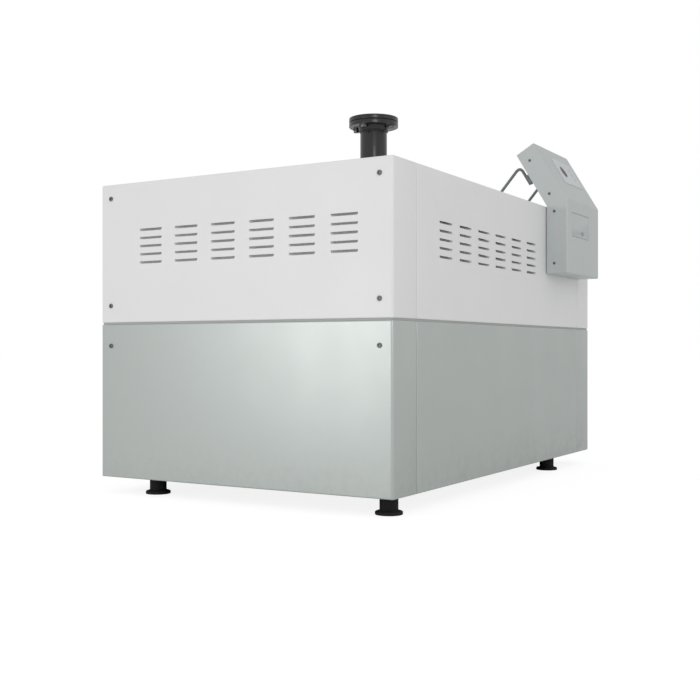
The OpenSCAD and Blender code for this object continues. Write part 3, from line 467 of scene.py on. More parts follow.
def layered(name, colour, second, rough, metal=0.0, cloud=6.0, grain=(500, 1e-5),
            along=(1, 1, 1), spread=0.12, coat=0.0):
    """Two colours in clouds, and a fine grain with specks five times its size."""
    s = Shader(name)
    drawn = s.stretch(along)
    fine = s.noise(grain[0], 3.0, drawn)
    soft = s.noise(cloud, 5.0, drawn)
    specks = s.cells(grain[0] * 0.2).ramp(0.0, 0.35)
    s.set(base_color=s.mix(soft.ramp(0.3, 0.7), colour, second), metallic=metal,
          roughness=rough + (fine - 0.5) * spread + (soft - 0.5) * spread,
          normal=s.bump(fine * grain[1] + specks * (grain[1] * 0.5)), coat_weight=coat)


layered("black_enamel", shade(30), shade(20), 0.30, grain=(160, 1.2e-4), coat=0.3)
layered("black_rubber", shade(8), shade(13), 0.80, grain=(900, 3e-5))
layered("dark_zinc", shade(128, 130, 132), shade(104, 106, 108), 0.38, 1.0, 90, (1400, 6e-6))
layered("bright_zinc", shade(186, 188, 190), shade(158, 161, 164), 0.30, 1.0, 70, (900, 8e-6))
layered("brushed_steel", shade(190, 190, 188), shade(168, 168, 167), 0.30, 1.0, 20,
        (260, 9e-6), (0.06, 1, 1))
layered("frame_paint", shade(58, 60, 62), shade(48, 50, 52), 0.55, grain=(420, 5e-5))
layered("bezel_plastic", shade(214, 217, 218), shade(208, 211, 213), 0.46, grain=(1500, 8e-6))
layered("key_rubber", shade(196, 200, 204), shade(188, 192, 197), 0.6, grain=(1200, 8e-6))
layered("dark_plastic", shade(34, 35, 37), shade(28, 29, 31), 0.42, grain=(1500, 1e-5))
layered("green_plastic", shade(42, 138, 74), shade(36, 124, 66), 0.35, grain=(1500, 8e-6))
layered("lever_red", shade(168, 32, 28), shade(150, 26, 24), 0.35, grain=(500, 3e-5), coat=0.4)
layered("brass", shade(196, 160, 88), shade(174, 138, 72), 0.30, 1.0, 40, (700, 1.5e-5))
layered("cast_aluminium", shade(172, 174, 176), shade(150, 152, 155), 0.48, 1.0, 30, (420, 9e-5))
layered("gasket_fibre", shade(88, 96, 92), shade(70, 78, 75), 0.85, grain=(1300, 4e-5),
        along=(1, 1, 6))
layered("glazed_ceramic", shade(236, 232, 222), shade(226, 221, 210), 0.16, grain=(200, 8e-6),
        coat=0.6)
layered("motor_paint", shade(52, 66, 84), shade(44, 57, 74), 0.42, grain=(380, 6e-5), coat=0.1)
print("plain finishes:", len(FINISH))

# %% [markdown]
# Three finishes have a pattern of their own. Steel near the flame takes on straw
# and blue heat colours. Mineral wool is felted fibre with a foil-dull skin. A
# circuit board shows copper tracks under green lacquer. The round display is
# plain dark glass, so it is one of the layered finishes, made less reflective.

# %% Patterned finishes


def heated_steel():
    """Clouds drawn out along X go from steel to straw, and then to blue."""
    s = Shader("heated_steel")
    drawn = s.stretch((0.2, 1, 1))
    heat = s.noise(5.0, 4.0, drawn)
    fine = s.noise(420, 3.0, drawn)
    straw = s.mix(heat.ramp(0.35, 0.55), shade(138, 134, 128), shade(150, 122, 78))
    s.set(base_color=s.mix(heat.ramp(0.56, 0.7), straw, shade(74, 84, 118)), metallic=1.0,
          roughness=0.42 + (fine - 0.5) * 0.2, normal=s.bump(fine * 2.5e-5))


def mineral_wool():
    """Twisted noise, four times longer along X, for fibres, over soft lumps."""
    s = Shader("mineral_wool")
    fibre = s.noise(140, 8.0, s.stretch((0.25, 1, 1)), 2.0)
    lump = s.noise(18, 3.0)
    s.set(base_color=s.mix(fibre.ramp(0.3, 0.7), shade(196, 178, 118), shade(150, 132, 78)),
          roughness=0.95, normal=s.bump(fibre * 1.2e-3 + lump * 1.5e-3))


def circuit_board():
    """Tracks are bands of X in some cells and bands of Z in the others.

    A band is the fraction of the scaled coordinate that lies above an edge."""
    s = Shader("circuit_board")
    across, upward = (s.axis("X") * 180).fraction(), (s.axis("Z") * 140).fraction()
    pick = s.cells(90).over(0.35)
    track = (across.over(0.72) * pick).larger(upward.over(0.78) * (1 - pick))
    lacquer = s.mix(track, shade(22, 84, 48), shade(44, 122, 66))
    s.set(base_color=lacquer, roughness=0.34 + track * 0.12, normal=s.bump(track * 4e-5),
          coat_weight=0.3)


heated_steel()
mineral_wool()
circuit_board()
layered("display_glass", shade(16, 18, 22), shade(12, 14, 17), 0.24, grain=(900, 1e-6),
        spread=0.02)
glass = FINISH["display_glass"].node_tree.nodes["Principled BSDF"]
glass.inputs["Specular IOR Level"].default_value = 0.12
print("finishes:", len(FINISH))

# %% [markdown]
# ## The camera
# The camera stands level, about half a metre up, off the near corner, so both
# the louvred end and the long front show and upright edges stay upright.

# %% Camera
EYE_AT, AIM = (-3.9356, -2.1373, 0.536), (0.8605, 0.5094)
eye = bpy.data.cameras.new("camera")
eye.lens, eye.sensor_width = 53.59, 36
eye.clip_end = 100
camera = bpy.data.objects.new("camera", eye)
camera.location = EYE_AT
camera.rotation_euler = (math.pi / 2, 0, math.atan2(-AIM[0], AIM[1]))
bpy.context.scene.collection.objects.link(camera)
bpy.context.scene.camera = camera
print("camera at", tuple(round(v, 3) for v in camera.location))

# %% [markdown]
# ## Casing panels
# A casing panel is one sheet with its four edges folded back. The fold is not
# sharp: the sheet bends round a radius, and where two panels meet their two
# radii form a shallow groove. So a panel is a flat face plus a profile (a
# quarter circle, then the straight edge) carried round its outline.
#
# The louvres are slots lanced and pushed in: behind each slot the sheet runs on
# as a scoop that rises behind the opening, so we look at a shaded pocket and
# not at a black hole. All blocks of slots are alike, five rows of six.

# %% Louvre slots
FOLD, SHEET = 4.0, 2.0
TINY = 1e-4
SLOT_L, SLOT_H, SLOT_DEPTH = 104.0, 9.4, 17.0
SLOT_PITCH, ROW_PITCH = 165.0, 30.0
SLOT_COLS, SLOT_ROWS = 6, 5
SLOT_MIDDLE = 858.0
SLOT_R = 5.0


def slot_path(x, z):
    """From the upper left end of a slot down, along its foot, and up to the right end.

    The two lower corners are quarter circles."""
    sine, rest = bend(SLOT_R, 5)
    left = np.stack([-SLOT_L / 2 + rest, SLOT_R - SLOT_H / 2 - sine], 1)
    side = np.array([[-SLOT_L / 2, SLOT_H / 2]])
    foot = np.stack([np.linspace(-0.8, 0.8, 9) * SLOT_L / 2, np.full(9, -SLOT_H / 2)], 1)
    half = np.vstack([side, left])
    return np.vstack([half, foot, half[::-1] * (-1, 1)]) + (x, z)


def scoop(path, x, z, lift):
    """A quarter ellipse from each point of the slot's foot, inwards and then up.

    Its depth falls to nothing at the slot's ends, as the root of one minus the
    sixth power of the distance from the middle, and it ends just above the slot."""
    share = np.clip(1 - np.abs((path[:, 0] - x) / (SLOT_L / 2)) ** 6, 0, 1) ** 0.5
    top = z + SLOT_H / 2 + 1.0 * share
    turn = np.linspace(0, np.pi / 2, 6)[:, None]
    inward = SLOT_DEPTH * share * np.sin(turn)
    rise = path[:, 1] + (top - path[:, 1]) * (1 - np.cos(turn))
    across = np.broadcast_to(path[:, 0], rise.shape)
    return grid(lift(np.stack([across, rise], -1), inward[..., None]))


def louvres(middle, lift):
    """The slots' outlines and the scoops behind them, for one block."""
    holes, scoops = [], []
    for col in range(SLOT_COLS):
        for row in range(SLOT_ROWS):
            x = middle + (col - (SLOT_COLS - 1) / 2) * SLOT_PITCH
            z = SLOT_MIDDLE + (row - (SLOT_ROWS - 1) / 2) * ROW_PITCH
            path = slot_path(x, z)
            holes.append(path)
            scoops.append(scoop(path, x, z, lift))
    return holes, scoops


print("slots in a block:", SLOT_COLS * SLOT_ROWS, "of", SLOT_L, "x", SLOT_H, "mm")

# %% [markdown]
# The front and the back are flat trays that sit between the returns of the end
# panels. Each is a stack of rings: the flat face's outline, four steps round the
# fold, and the edge of the lip behind. The upper trays have a deeper lip on top,
# which frames the top covers.

# %% Flat panels between the returns
LIP, TOP_LIP = 30.0, 40.0
FRONT_LOUVRES, END_LOUVRES = 801.0, 594.0


def face_y(rear):
    """Plane points (x, z) and a depth into the casing, on the front or the back."""
    def lift(plane, depth=0.0):
        y = np.broadcast_to(depth, plane.shape[:-1] + (1,))
        y = WIDTH - y if rear else y
        return np.concatenate([plane[..., :1], y, plane[..., 1:]], -1)
    return lift


def flat_panel(name, z0, z1, top_lip, rear, finish, middle=None):
    """A folded tray: quarter circle of radius FOLD, then straight back to the lip."""
    lift = face_y(rear)
    holes, scoops = louvres(middle, lift) if middle else ([], [])
    sine, rest = bend(FOLD, 4)
    rings = [lift(rounded(FLAT_X0 + FOLD - s, FLAT_X1 - FOLD + s, z0 + FOLD - s, z1 - FOLD + s,
                          max(s, TINY), 3), r) for s, r in zip(sine, rest)]
    edge = rounded(FLAT_X0, FLAT_X1, z0, z1, FOLD, 3)
    lip = np.where(edge[:, 1] > z1 - FOLD / 2, top_lip, LIP)[:, None]
    rings.append(lift(edge, lip))
    face = rounded(FLAT_X0 + FOLD, FLAT_X1 - FOLD, z0 + FOLD, z1 - FOLD, TINY, 3)
    square = face[::4]
    patches = [flat([square] + holes, lift), grid(np.array(rings), closed=True)] + scoops
    piece(name.replace("panel", "sheet"), patches, "casing", finish, [name],
          out=(0, 1 if rear else -1, 0), wall=SHEET)


flat_panel("front_upper_panel", SEAM_UP, HEIGHT, TOP_LIP, False, "white_coat",
           FRONT_LOUVRES)
flat_panel("rear_upper_panel", SEAM_UP, HEIGHT, TOP_LIP, True, "white_coat")
flat_panel("front_lower_panel", 0, SEAM_LOW, LIP, False, "grey_coat")
flat_panel("rear_lower_panel", 0, SEAM_LOW, LIP, True, "grey_coat")

# %% [markdown]
# An end panel wraps round both upright corners. Seen from above it is a U: the
# path starts at the folded edge of the front return, turns the corner, crosses
# the end, turns again and comes back. Carried from top to bottom, with the edges
# folded in, the path gives the whole panel, and only the big end face is cut out
# and put back with its slots or pipe holes.

# %% End panels
CORNER_R = 10.0


def end_path(inwards):
    """The U seen from above, moved in by a distance. Columns are x and y."""
    s, r = bend(FOLD - inwards, 4)
    c, k = bend(CORNER_R - inwards, 8)
    fold = np.stack([RETURN - FOLD + s[::-1], inwards + r[::-1]], 1)
    turn = np.stack([CORNER_R - c, inwards + k], 1)
    half = np.vstack([[[RETURN - inwards, LIP]], fold, turn])
    return np.vstack([half, half[::-1] * (1, -1) + (0, WIDTH)])


def face_x(plane, depth=0.0):
    """Plane points (y, z) and a depth into the casing, on the left end."""
    x = np.broadcast_to(depth, plane.shape[:-1] + (1,))
    return np.concatenate([x, plane], -1)


def end_panel(name, z0, z1, top_lip, right, finish, holes=(), scoops=()):
    """The U path stacked from the top lip over both folds to the bottom lip.

    The one wide quad that spans the end face is left out and cut flat instead."""
    sine, rest = bend(FOLD, 4)
    outer = end_path(0)
    col = len(outer) // 2 - 1
    rows = []

    def ring(path, z):
        """Keeps one row of points at a height."""
        rows.append(np.column_stack([path, np.full(len(path), z)]))

    def lip_line(depth):
        """The lip's inner edge: the path held back to a depth from every side."""
        return np.column_stack([np.clip(outer[:, 0], depth, RETURN - FOLD),
                                np.clip(outer[:, 1], depth, WIDTH - depth)])

    ring(lip_line(top_lip), z1)
    for s, r in list(zip(sine, rest))[::-1]:
        ring(end_path(r), z1 - FOLD + s)
    band = len(rows) - 1
    for s, r in zip(sine, rest):
        ring(end_path(r), z0 + FOLD - s)
    ring(lip_line(LIP), z0)
    points = np.array(rows)
    y0, y1 = outer[col, 1], outer[col + 1, 1]
    face = np.array([[y0, z0 + FOLD], [y1, z0 + FOLD], [y1, z1 - FOLD], [y0, z1 - FOLD]])
    patches = [grid(points, skip=[(band, col)]), flat([face] + list(holes), face_x)] + list(scoops)
    if right:
        patches = [(verts * (-1, 1, 1) + (LENGTH, 0, 0), cells) for verts, cells in patches]
    piece(name.replace("panel", "sheet"), patches, "casing", finish, [name],
          out=(1 if right else -1, 0, 0), wall=SHEET)


print("the U seen from above has", len(end_path(0)), "points")

# %% [markdown]
# The right end lets the two water pipes and the flue socket through. Their
# middles come from the CAD nodes, so the holes stay round the pipes.

# %% The four end panels
WATER_HOLE, FLUE_HOLE, WATER_SIDE = 98.0, 137.3, 190.0
flue, water = local("flue_outlet"), local("water_connections")
FLUE_AT = (flue[0] + flue[1])[1:] / 2
WATER_Z = (water[0] + water[1])[2] / 2
pipe_holes = [circle(FLUE_HOLE, 64, FLUE_AT)]
for side in (-WATER_SIDE, WATER_SIDE):
    pipe_holes.append(circle(WATER_HOLE, 48, (WIDTH / 2 + side, WATER_Z)))
end_holes, end_scoops = louvres(END_LOUVRES, face_x)
end_panel("left_upper_panel", SEAM_UP, HEIGHT, TOP_LIP, False, "white_coat",
          end_holes, end_scoops)
end_panel("right_upper_panel", SEAM_UP, HEIGHT, TOP_LIP, True, "white_coat")
end_panel("left_lower_panel", 0, SEAM_LOW, LIP, False, "grey_coat")
end_panel("right_lower_panel", 0, SEAM_LOW, LIP, True, "grey_coat", pipe_holes)

# %% [markdown]
# A grey sealing strip fills the joint between the upper and the lower panels.
# Without it the seam is an open gap and looks black. The strip lies a little
# behind the faces and runs right round the casing, so it is one closed band: two
# walls from grids and two flat faces.

# %% Seam seal
SEAL_DEPTH, SEAL_WIDTH, SEAL_PLAY = 4.5, 20, 0.2


def level(z):
    """Lifts plane points (x, y) to a height."""
    return lambda plane: np.column_stack([plane, np.full(len(plane), z)])


def seam_outline(depth):
    """The casing's outline drawn in by a depth."""
    return rounded(depth, LENGTH - depth, depth, WIDTH - depth, 5, 6)


edges = [seam_outline(SEAL_DEPTH), seam_outline(SEAL_DEPTH + SEAL_WIDTH)]
heights = [SEAM_LOW + SEAL_PLAY, SEAM_UP - SEAL_PLAY]
seal = [grid(np.array([level(z)(loop) for z in heights]), closed=True) for loop in edges]
seal += [flat(edges, level(z)) for z in heights]
piece("seam_seal", seal, "casing", "seal_grey")

# %% [markdown]
# ## Turned, swept and drilled pieces
# Pipes, flanges, screws, feet and keys are turned: a profile of radius and
# height, carried round an axis. Each is worked out in a plane of its own, and
# stand puts that plane where the piece is. A corner of a profile is softened by
# a short parabola, as a lathe hand breaks an edge, because a Bevel modifier would
# also cut the steps of the round.

# %% Local frames and soft corners


def stand(at, axis):
    """A local frame on an axis: plane points and a height become space points."""
    normal = np.array(axis, float) / np.linalg.norm(axis)
    side = np.cross([0, 0, 1], normal) if abs(normal[2]) < 0.9 else np.array([1.0, 0, 0])
    side = side / np.linalg.norm(side)
    upward = np.cross(normal, side)

    def lift(plane, height=0.0):
        height = np.broadcast_to(height, plane.shape[:-1])[..., None]
        return np.array(at) + plane[..., :1] * side + plane[..., 1:] * upward + height * normal
    return lift


def soften(points, radius, steps=3, closed=False):
    """Rounds a line's corners with parabolas that start and end a radius away from each."""
    p = np.asarray(points, float)
    reach = np.broadcast_to(radius, len(p))[:, None]
    before, after = np.roll(p, 1, 0) - p, np.roll(p, -1, 0) - p
    a = p + reach * before / np.linalg.norm(before, axis=1, keepdims=True)
    c = p + reach * after / np.linalg.norm(after, axis=1, keepdims=True)
    t = np.linspace(0, 1, steps + 1)[:, None, None]
    curve = ((1 - t) ** 2 * a + 2 * t * (1 - t) * p + t ** 2 * c).transpose(1, 0, 2)
    if closed:
        return curve.reshape(-1, p.shape[1])
    return np.vstack([p[:1], curve[1:-1].reshape(-1, p.shape[1]), p[-1:]])


corner_points = soften([(0, 0), (10, 0), (10, 10)], 2.0)
print("a softened corner has", len(corner_points) - 2, "points")

# %% [markdown]
# The lathe carries a profile round an axis. A hexagon head or socket is a turned
# piece too: its radius is divided by the cosine of the angle from the nearest
# flat's middle, which draws the circle out to six flats.

# %% Turned shapes


def lathe(lift, profile, count=64, six=()):
    """Turns a profile of (radius, height) rows. The rows in six become hexagons."""
    profile = np.asarray(profile, float)
    angle = np.arange(count) * 2 * np.pi / count
    radius = np.repeat(profile[:, :1], count, 1)
    radius[list(six)] *= 1 / np.cos((angle + np.pi / 6) % (np.pi / 3) - np.pi / 6)
    plane = np.stack([radius * np.cos(angle), radius * np.sin(angle)], -1)
    return grid(lift(plane, profile[:, 1:]), closed=True)


def tube(lift, outer, inner, z0, z1, soft=0.5, count=64):
    """A pipe or ring: a closed rectangular profile with softened corners."""
    box = [(outer, z0), (outer, z1), (inner, z1), (inner, z0)]
    profile = soften(box, soft, 2, closed=True)
    return lathe(lift, np.vstack([profile, profile[:1]]), count)


ring_points, ring_faces = tube(stand((0, 0, 0), (0, 0, 1)), 10, 8, 0, 5)
print("a turned ring has", len(ring_points), "points and", len(ring_faces), "faces")

# %% [markdown]
# A thread is a turned rod whose radius also depends on the angle, so that its
# crest climbs by one pitch a turn. A weld bead is a small circle carried round
# the pipe. It swells and shrinks in ripples, one for each dip of the rod.

# %% Threads and weld beads


def thread(lift, radius, z0, z1, pitch, depth, count=36):
    """The radius falls by the depth and rises again once a turn and once a pitch."""
    z = np.arange(z0, z1 + pitch / 6, pitch / 6)[:, None]
    angle = np.arange(count) * 2 * np.pi / count
    turn = (z / pitch - angle / (2 * np.pi)) % 1
    r = radius - depth * np.abs(2 * turn - 1)
    r[0], r[-1] = radius - depth, radius - depth
    plane = np.stack([r * np.cos(angle), r * np.sin(angle)], -1)
    return grid(lift(plane, np.broadcast_to(z, r.shape)), closed=True)


def bead(lift, ring, height, size, ripples):
    """A weld bead: a small circle carried round the pipe, its size rippling as the arc moved."""
    around = np.arange(ripples * 6) * 2 * np.pi / (ripples * 6)
    small = np.arange(10) * 2 * np.pi / 10
    swell = size * (1 + 0.10 * np.cos(ripples * around) + 0.05 * np.cos(7 * around + 1))
    r = ring + swell[:, None] * np.cos(small)
    plane = np.stack([r * np.cos(around)[:, None], r * np.sin(around)[:, None]], -1)
    points = lift(plane, height + swell[:, None] * np.sin(small))
    return grid(np.vstack([points, points[:1]]), closed=True)


worm = thread(stand((0, 0, 0), (0, 0, 1)), 5, 0, 10, 2.0, 0.5)
print("five turns of thread have", len(worm[1]), "faces")

# %% [markdown]
# A flange has bolt holes, so it can't be turned in one go. Its two faces are cut
# flat with the bore and the holes in them, its rim is turned, and each hole's
# wall is a grid between the two faces.

# %% Flanges


def drilled(lift, outer, bore, z0, z1, holes, soft=1.5, low_bore=None):
    """A round plate with a bore and bolt holes. Its rim is softened at both faces.

    low_bore is the bore's radius in the lower face where a collar starts there."""
    walls = [circle(bore, 64)] + holes
    top = flat([circle(outer - soft, 96)] + walls, lambda p: lift(p, z1))
    low = [circle(low_bore or bore, 64)] + holes
    bottom = flat([circle(outer - soft, 96)] + low, lambda p: lift(p, z0))
    rim = soften([(outer - soft, z0), (outer, z0), (outer, z1), (outer - soft, z1)],
                 [0, soft * 0.98, soft * 0.98, 0], 3)
    made = [top, bottom, lathe(lift, rim, 96)]
    for loop in (holes if low_bore else walls):
        made.append(grid(np.array([lift(loop, z0), lift(loop, z1)]), closed=True))
    return made


small = drilled(stand((0, 0, 0), (0, 0, 1)), 30, 10, 0, 5, [circle(3, 16, (20, 0))])
print("a small flange has", sum(len(cells) for _, cells in small), "faces")

# %% [markdown]
# A stay is a round bar bent in one plane: a circle carried along a line. Two
# flat-sided parts, its foot plate and its block, are slabs: an outline stacked
# in a few steps, drawn in a little at the bottom and at the top.

# %% Bars and slabs


def sweep(path, radius, side, count=24):
    """A round bar: a circle carried along a path that lies square to the side vector."""
    run = np.gradient(path, axis=0)
    run = run / np.linalg.norm(run, axis=1, keepdims=True)
    other = np.cross(side, run)
    angle = np.arange(count) * 2 * np.pi / count
    ring = np.cos(angle)[:, None] * np.array(side, float) + np.sin(angle)[:, None] * other[:, None]
    ends = np.vstack([path[:1], path, path[-1:]])[:, None]
    ring = np.concatenate([ring[:1] * 0, ring, ring[-1:] * 0])
    return grid(ends + radius * ring, closed=True)


def slab(low, high, soft=0.8):
    """A block with softened edges: a rounded outline drawn in a little at both faces."""
    (x0, y0, z0), (x1, y1, z1) = low, high
    s, r = bend(soft, 3)
    rows = [np.column_stack([rounded(x0 + k, x1 - k, y0 + k, y1 - k, soft + 0.4 - k, 3),
                             np.full(16, z)])
            for k, z in list(zip(r[::-1], z0 + soft - s[::-1])) + list(zip(r, z1 - soft + s))]
    outline = rounded(x0 + soft, x1 - soft, y0 + soft, y1 - soft, 0.4, 3)
    caps = [flat([outline], level(z)) for z in (z0, z1)]
    return [grid(np.array(rows), closed=True)] + caps


print("a slab has", sum(len(cells) for _, cells in slab((0, 0, 0), (10, 10, 5))), "faces")

# %% [markdown]
# Small or hidden pieces keep their CAD shape and only lose their razor edges. The
# CAD mesh is loose triangles, which a Bevel can't round, so a copy has its
# doubles merged, its flat faces joined and its edges bevelled.

# %% Bevelled copies
BEVEL_FROM, FLAT_WITHIN = 32, 0.4


def edged(node, width, body, finish, segments=2):
    """A copy of a CAD node with bevelled edges. The node itself is hidden."""
    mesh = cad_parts[node].data.copy()
    bm = bmesh.new()
    bm.from_mesh(mesh)
    bmesh.ops.remove_doubles(bm, verts=bm.verts, dist=1e-6)
    bmesh.ops.dissolve_limit(bm, angle_limit=math.radians(FLAT_WITHIN), verts=bm.verts,
                             edges=bm.edges)
    bm.to_mesh(mesh)
    bm.free()
    mesh.polygons.foreach_set("use_smooth", np.ones(len(mesh.polygons), bool))
    mesh.materials.clear()
    mesh.materials.append(FINISH[finish])
    made = bpy.data.objects.new(node + "_edged", mesh)
    bpy.context.scene.collection.objects.link(made)
    cut = made.modifiers.new("edges", "BEVEL")
    cut.width, cut.segments, cut.limit_method = width / 1000, segments, "ANGLE"
    cut.angle_limit, cut.harden_normals = math.radians(BEVEL_FROM), True
    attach(made, body)
    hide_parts(node)
    print(f"{made.name}: {len(mesh.polygons)} faces before its bevel")


print("edges steeper than", BEVEL_FROM, "degrees are bevelled")

# %% [markdown]
# ## Screws, feet and top
# Socket-head screws hold the end panels, three up each edge. A head is small but
# catches the light on its washer and in its hexagon socket, so it is turned in
# full, with the socket as the last rows of the profile.

# %% Panel screws
SCREW_Z, SCREW_INSET = [HEIGHT - 53, 641, 491], 50
SCREW_HEAD = [(0, -37), (3.6, -37), (4, -36.6), (4, 0), (8.1, 0), (8.5, 0.4), (8.5, 2.9),
              (8.2, 3.6), (7.5, 4.0), (3.9, 4.0), (3.6, 3.8), (3.3, 3.4), (3.3, 1.2), (0, 0.9)]
screw_patches = []
for z in SCREW_Z:
    for y in (SCREW_INSET, WIDTH - SCREW_INSET):
        for x, way in ((0, -1), (LENGTH, 1)):
            screw_patches.append(lathe(stand((x, y, z), (way, 0, 0)), SCREW_HEAD, 36, six=(11, 12)))
piece("panel_screw_set", screw_patches, "casing", "dark_zinc", ["panel_screws"])

# %% [markdown]
# Each foot is a pad on a threaded spindle that climbs into its rail through a
# sleeve. The pad and the spindle move together when the foot is set, so they are
# one piece on the foot's body. The sleeve stays with the casing. The pad has 72
# points round it and the thread 36, so the two touch there without being joined,
# and the thread's last turn ends inside the sleeve a little past the tip's start.

# %% Levelling feet
PAD_TOP, SPINDLE_R, PITCH, THREAD_DEPTH, TIP = 14, 12, 3.0, 1.4, 2
SLEEVE_R, SLEEVE_BORE, SLEEVE_TOP = 31, 12.05, 60
ROOT = SPINDLE_R - THREAD_DEPTH
PAD = [(0, 1.5), (40, 1.5), (40.5, 0), (45, 0), (45.8, 0.5), (46, 1.4), (46, 8.2), (45.4, 9.6),
       (44, 10.6), (35, 13.6), (33, PAD_TOP), (ROOT, PAD_TOP)]
sleeve_patches = []
for corner in ("front_left", "front_right", "rear_left", "rear_right"):
    low, high = local("foot_" + corner)
    mid, rod = (low + high) / 2, high[2] - low[2]
    here = stand((mid[0], mid[1], low[2]), (0, 0, 1))
    foot = [lathe(here, PAD, 72), thread(here, SPINDLE_R, PAD_TOP, rod - TIP, PITCH, THREAD_DEPTH),
            lathe(here, [(ROOT, rod - TIP), (9.4, rod), (0, rod)], 36)]
    piece(f"levelling_foot_{corner}", foot, "foot_" + corner, "black_rubber",
          ["foot_" + corner])
    sleeve_patches.append(tube(here, SLEEVE_R, SLEEVE_BORE, PAD_TOP, SLEEVE_TOP, 1.0, 48))
piece("spindle_sleeves", sleeve_patches, "casing", "black_rubber", ["foot_sleeves"])

# %% [markdown]
# Two top covers meet over the gas pipe. Each is a flat sheet with a stiffening
# fold where they meet. Their CAD shape is right, so they only get softer edges.

# %% Top covers
edged("top_covers", 0.7, "casing", "white_coat")

# %% [markdown]
# ## Gas pipe
# The pipe comes out of the middle of the top and ends in a bolted flange pair.
# The lower flange has a tapered collar that is welded to the pipe, so a rippled
# bead runs round it. Four bolts come up from below through both flanges.

# %% Gas pipe
PIPE_R, PIPE_WALL = 57.15, 3.6
pipe = local("gas_pipe")
PIPE_AT = (pipe[0] + pipe[1])[:2] / 2
up = stand((*PIPE_AT, 0), (0, 0, 1))
riser = tube(up, PIPE_R, PIPE_R - PIPE_WALL, pipe[0][2], pipe[1][2], 0.6, 96)
piece("gas_riser", [riser], "casing", "black_enamel", ["gas_pipe"])

# %% [markdown]
# The welded flange is a drilled plate whose lower face opens into the collar's
# foot. The collar tapers down to the pipe, so its profile is turned as one line
# from that foot round to the bore's upper edge. The plate above it is the same
# without a collar, and a gasket lies between them.

# %% Flange pair
RIM_R, FLANGE_T, GASKET_T, BOLT_RING = 105, 18, 2, 85
COLLAR_R, COLLAR_H, NECK_R, BORE = 67, 17, 61.15, 57.25
FLANGE_Z = local("counter_flange")[0][2] - FLANGE_T - GASKET_T
bolt_at = [np.array([math.cos(a), math.sin(a)]) * BOLT_RING for a in np.arange(4) * math.pi / 2]
collar = [(COLLAR_R, FLANGE_Z), (NECK_R, FLANGE_Z - COLLAR_H), (BORE, FLANGE_Z - COLLAR_H),
          (BORE, FLANGE_Z + FLANGE_T)]
lower = drilled(up, RIM_R, BORE, FLANGE_Z, FLANGE_Z + FLANGE_T, [circle(9, 32, c) for c in bolt_at],
                1.6, COLLAR_R)
lower += [lathe(up, soften(collar, [0, 1.2, 0.6, 0], 3)), bead(up, 58.6, FLANGE_Z - 18.2, 3.4, 46)]
piece("welding_flange", lower, "casing", "black_enamel", ["pipe_flange"])
COUNTER_Z = FLANGE_Z + FLANGE_T + GASKET_T
upper = drilled(up, RIM_R, 58.05, COUNTER_Z, COUNTER_Z + FLANGE_T,
                [circle(8.05, 32, c) for c in bolt_at], 1.6)
piece("counter_flange_plate", upper, "casing", "black_enamel", ["counter_flange"])

# %% [markdown]
# A bolt's profile runs from its head below the flange, past the washer, to the
# end of its shank. The rosettes round the pipes are softened CAD copies.

# %% Bolts and rosettes
BOLT = [(0, -13), (10.9, -13), (11.7, -12.2), (11.95, -11.4), (11.95, -3.2), (11.5, -3), (15, -3),
        (15, -0.3), (14.7, 0), (8, 0), (8, 36.2), (7.2, 37), (0, 37)]
bolts = [lathe(stand((*(PIPE_AT + c), FLANGE_Z), (0, 0, 1)), BOLT, 36, six=(3, 4)) for c in bolt_at]
piece("flange_bolt_set", bolts, "casing", "dark_zinc", ["flange_bolts"])
edged("pipe_rosettes", 1.0, "casing", "frame_paint")

# %% [markdown]
# ## Control box
# The cover is one folded sheet: bottom, face, slope and top in one strip, with a
# cheek at each end. Seen from the side its outline is a line with rounded bends.
# The strip's own edges turn round a radius into the cheeks, so for each step
# of that turn the outline is drawn in a little.

# %% The box's outline
cover = local("box_cover")
BOX_X, BOX_W = cover[0][0], cover[1][0] - cover[0][0]
BOX_GAP, BOX_OUT, BOX_DROP = 4, 96, 290
KNEE, SLOPE, HEAD = 28, 294, 92
LEAN = math.radians(31)
SLOPE_WAY = (0, -math.cos(LEAN), math.sin(LEAN))
knee = np.array([BOX_OUT, KNEE])
brow = knee + SLOPE * np.array([-math.sin(LEAN), math.cos(LEAN)])
OUTLINE = np.array([(BOX_GAP, -BOX_DROP), (BOX_OUT, -BOX_DROP), knee, brow,
                    brow - HEAD * np.array([math.cos(LEAN), math.sin(LEAN)])])
BACK_BEND = np.array((BOX_GAP, OUTLINE[4][1] - (BOX_GAP - OUTLINE[4][0]) / math.tan(LEAN)))


def box_lift(points):
    """(along the box, out of the casing, above its top) in casing millimetres."""
    return np.stack([BOX_X + points[..., 0], -points[..., 1], HEIGHT + points[..., 2]], -1)


def side_path(inwards):
    """The outline moved in by a distance, its bends rounded by 5 mm less that distance."""
    run = np.diff(OUTLINE, axis=0)
    run = run / np.linalg.norm(run, axis=1, keepdims=True)
    left = np.stack([-run[:, 1], run[:, 0]], 1)
    a, b = np.vstack([left[:1], left]), np.vstack([left, left[-1:]])
    moved = OUTLINE + inwards * (a + b) / (1 + (a * b).sum(1, keepdims=True))
    return soften(moved, [0, 5 - inwards, 4 - inwards, 5 - inwards, 0], 4)


print("box", round(BOX_W), "mm wide, leaning", round(math.degrees(LEAN)), "degrees")

# %% [markdown]
# The strip is the outline at ten places along the box, five round the turn into
# each cheek. Two of its quads are the whole face and the whole slope. They are
# left out, and cut flat with the flap's opening, the display's and the keys'.

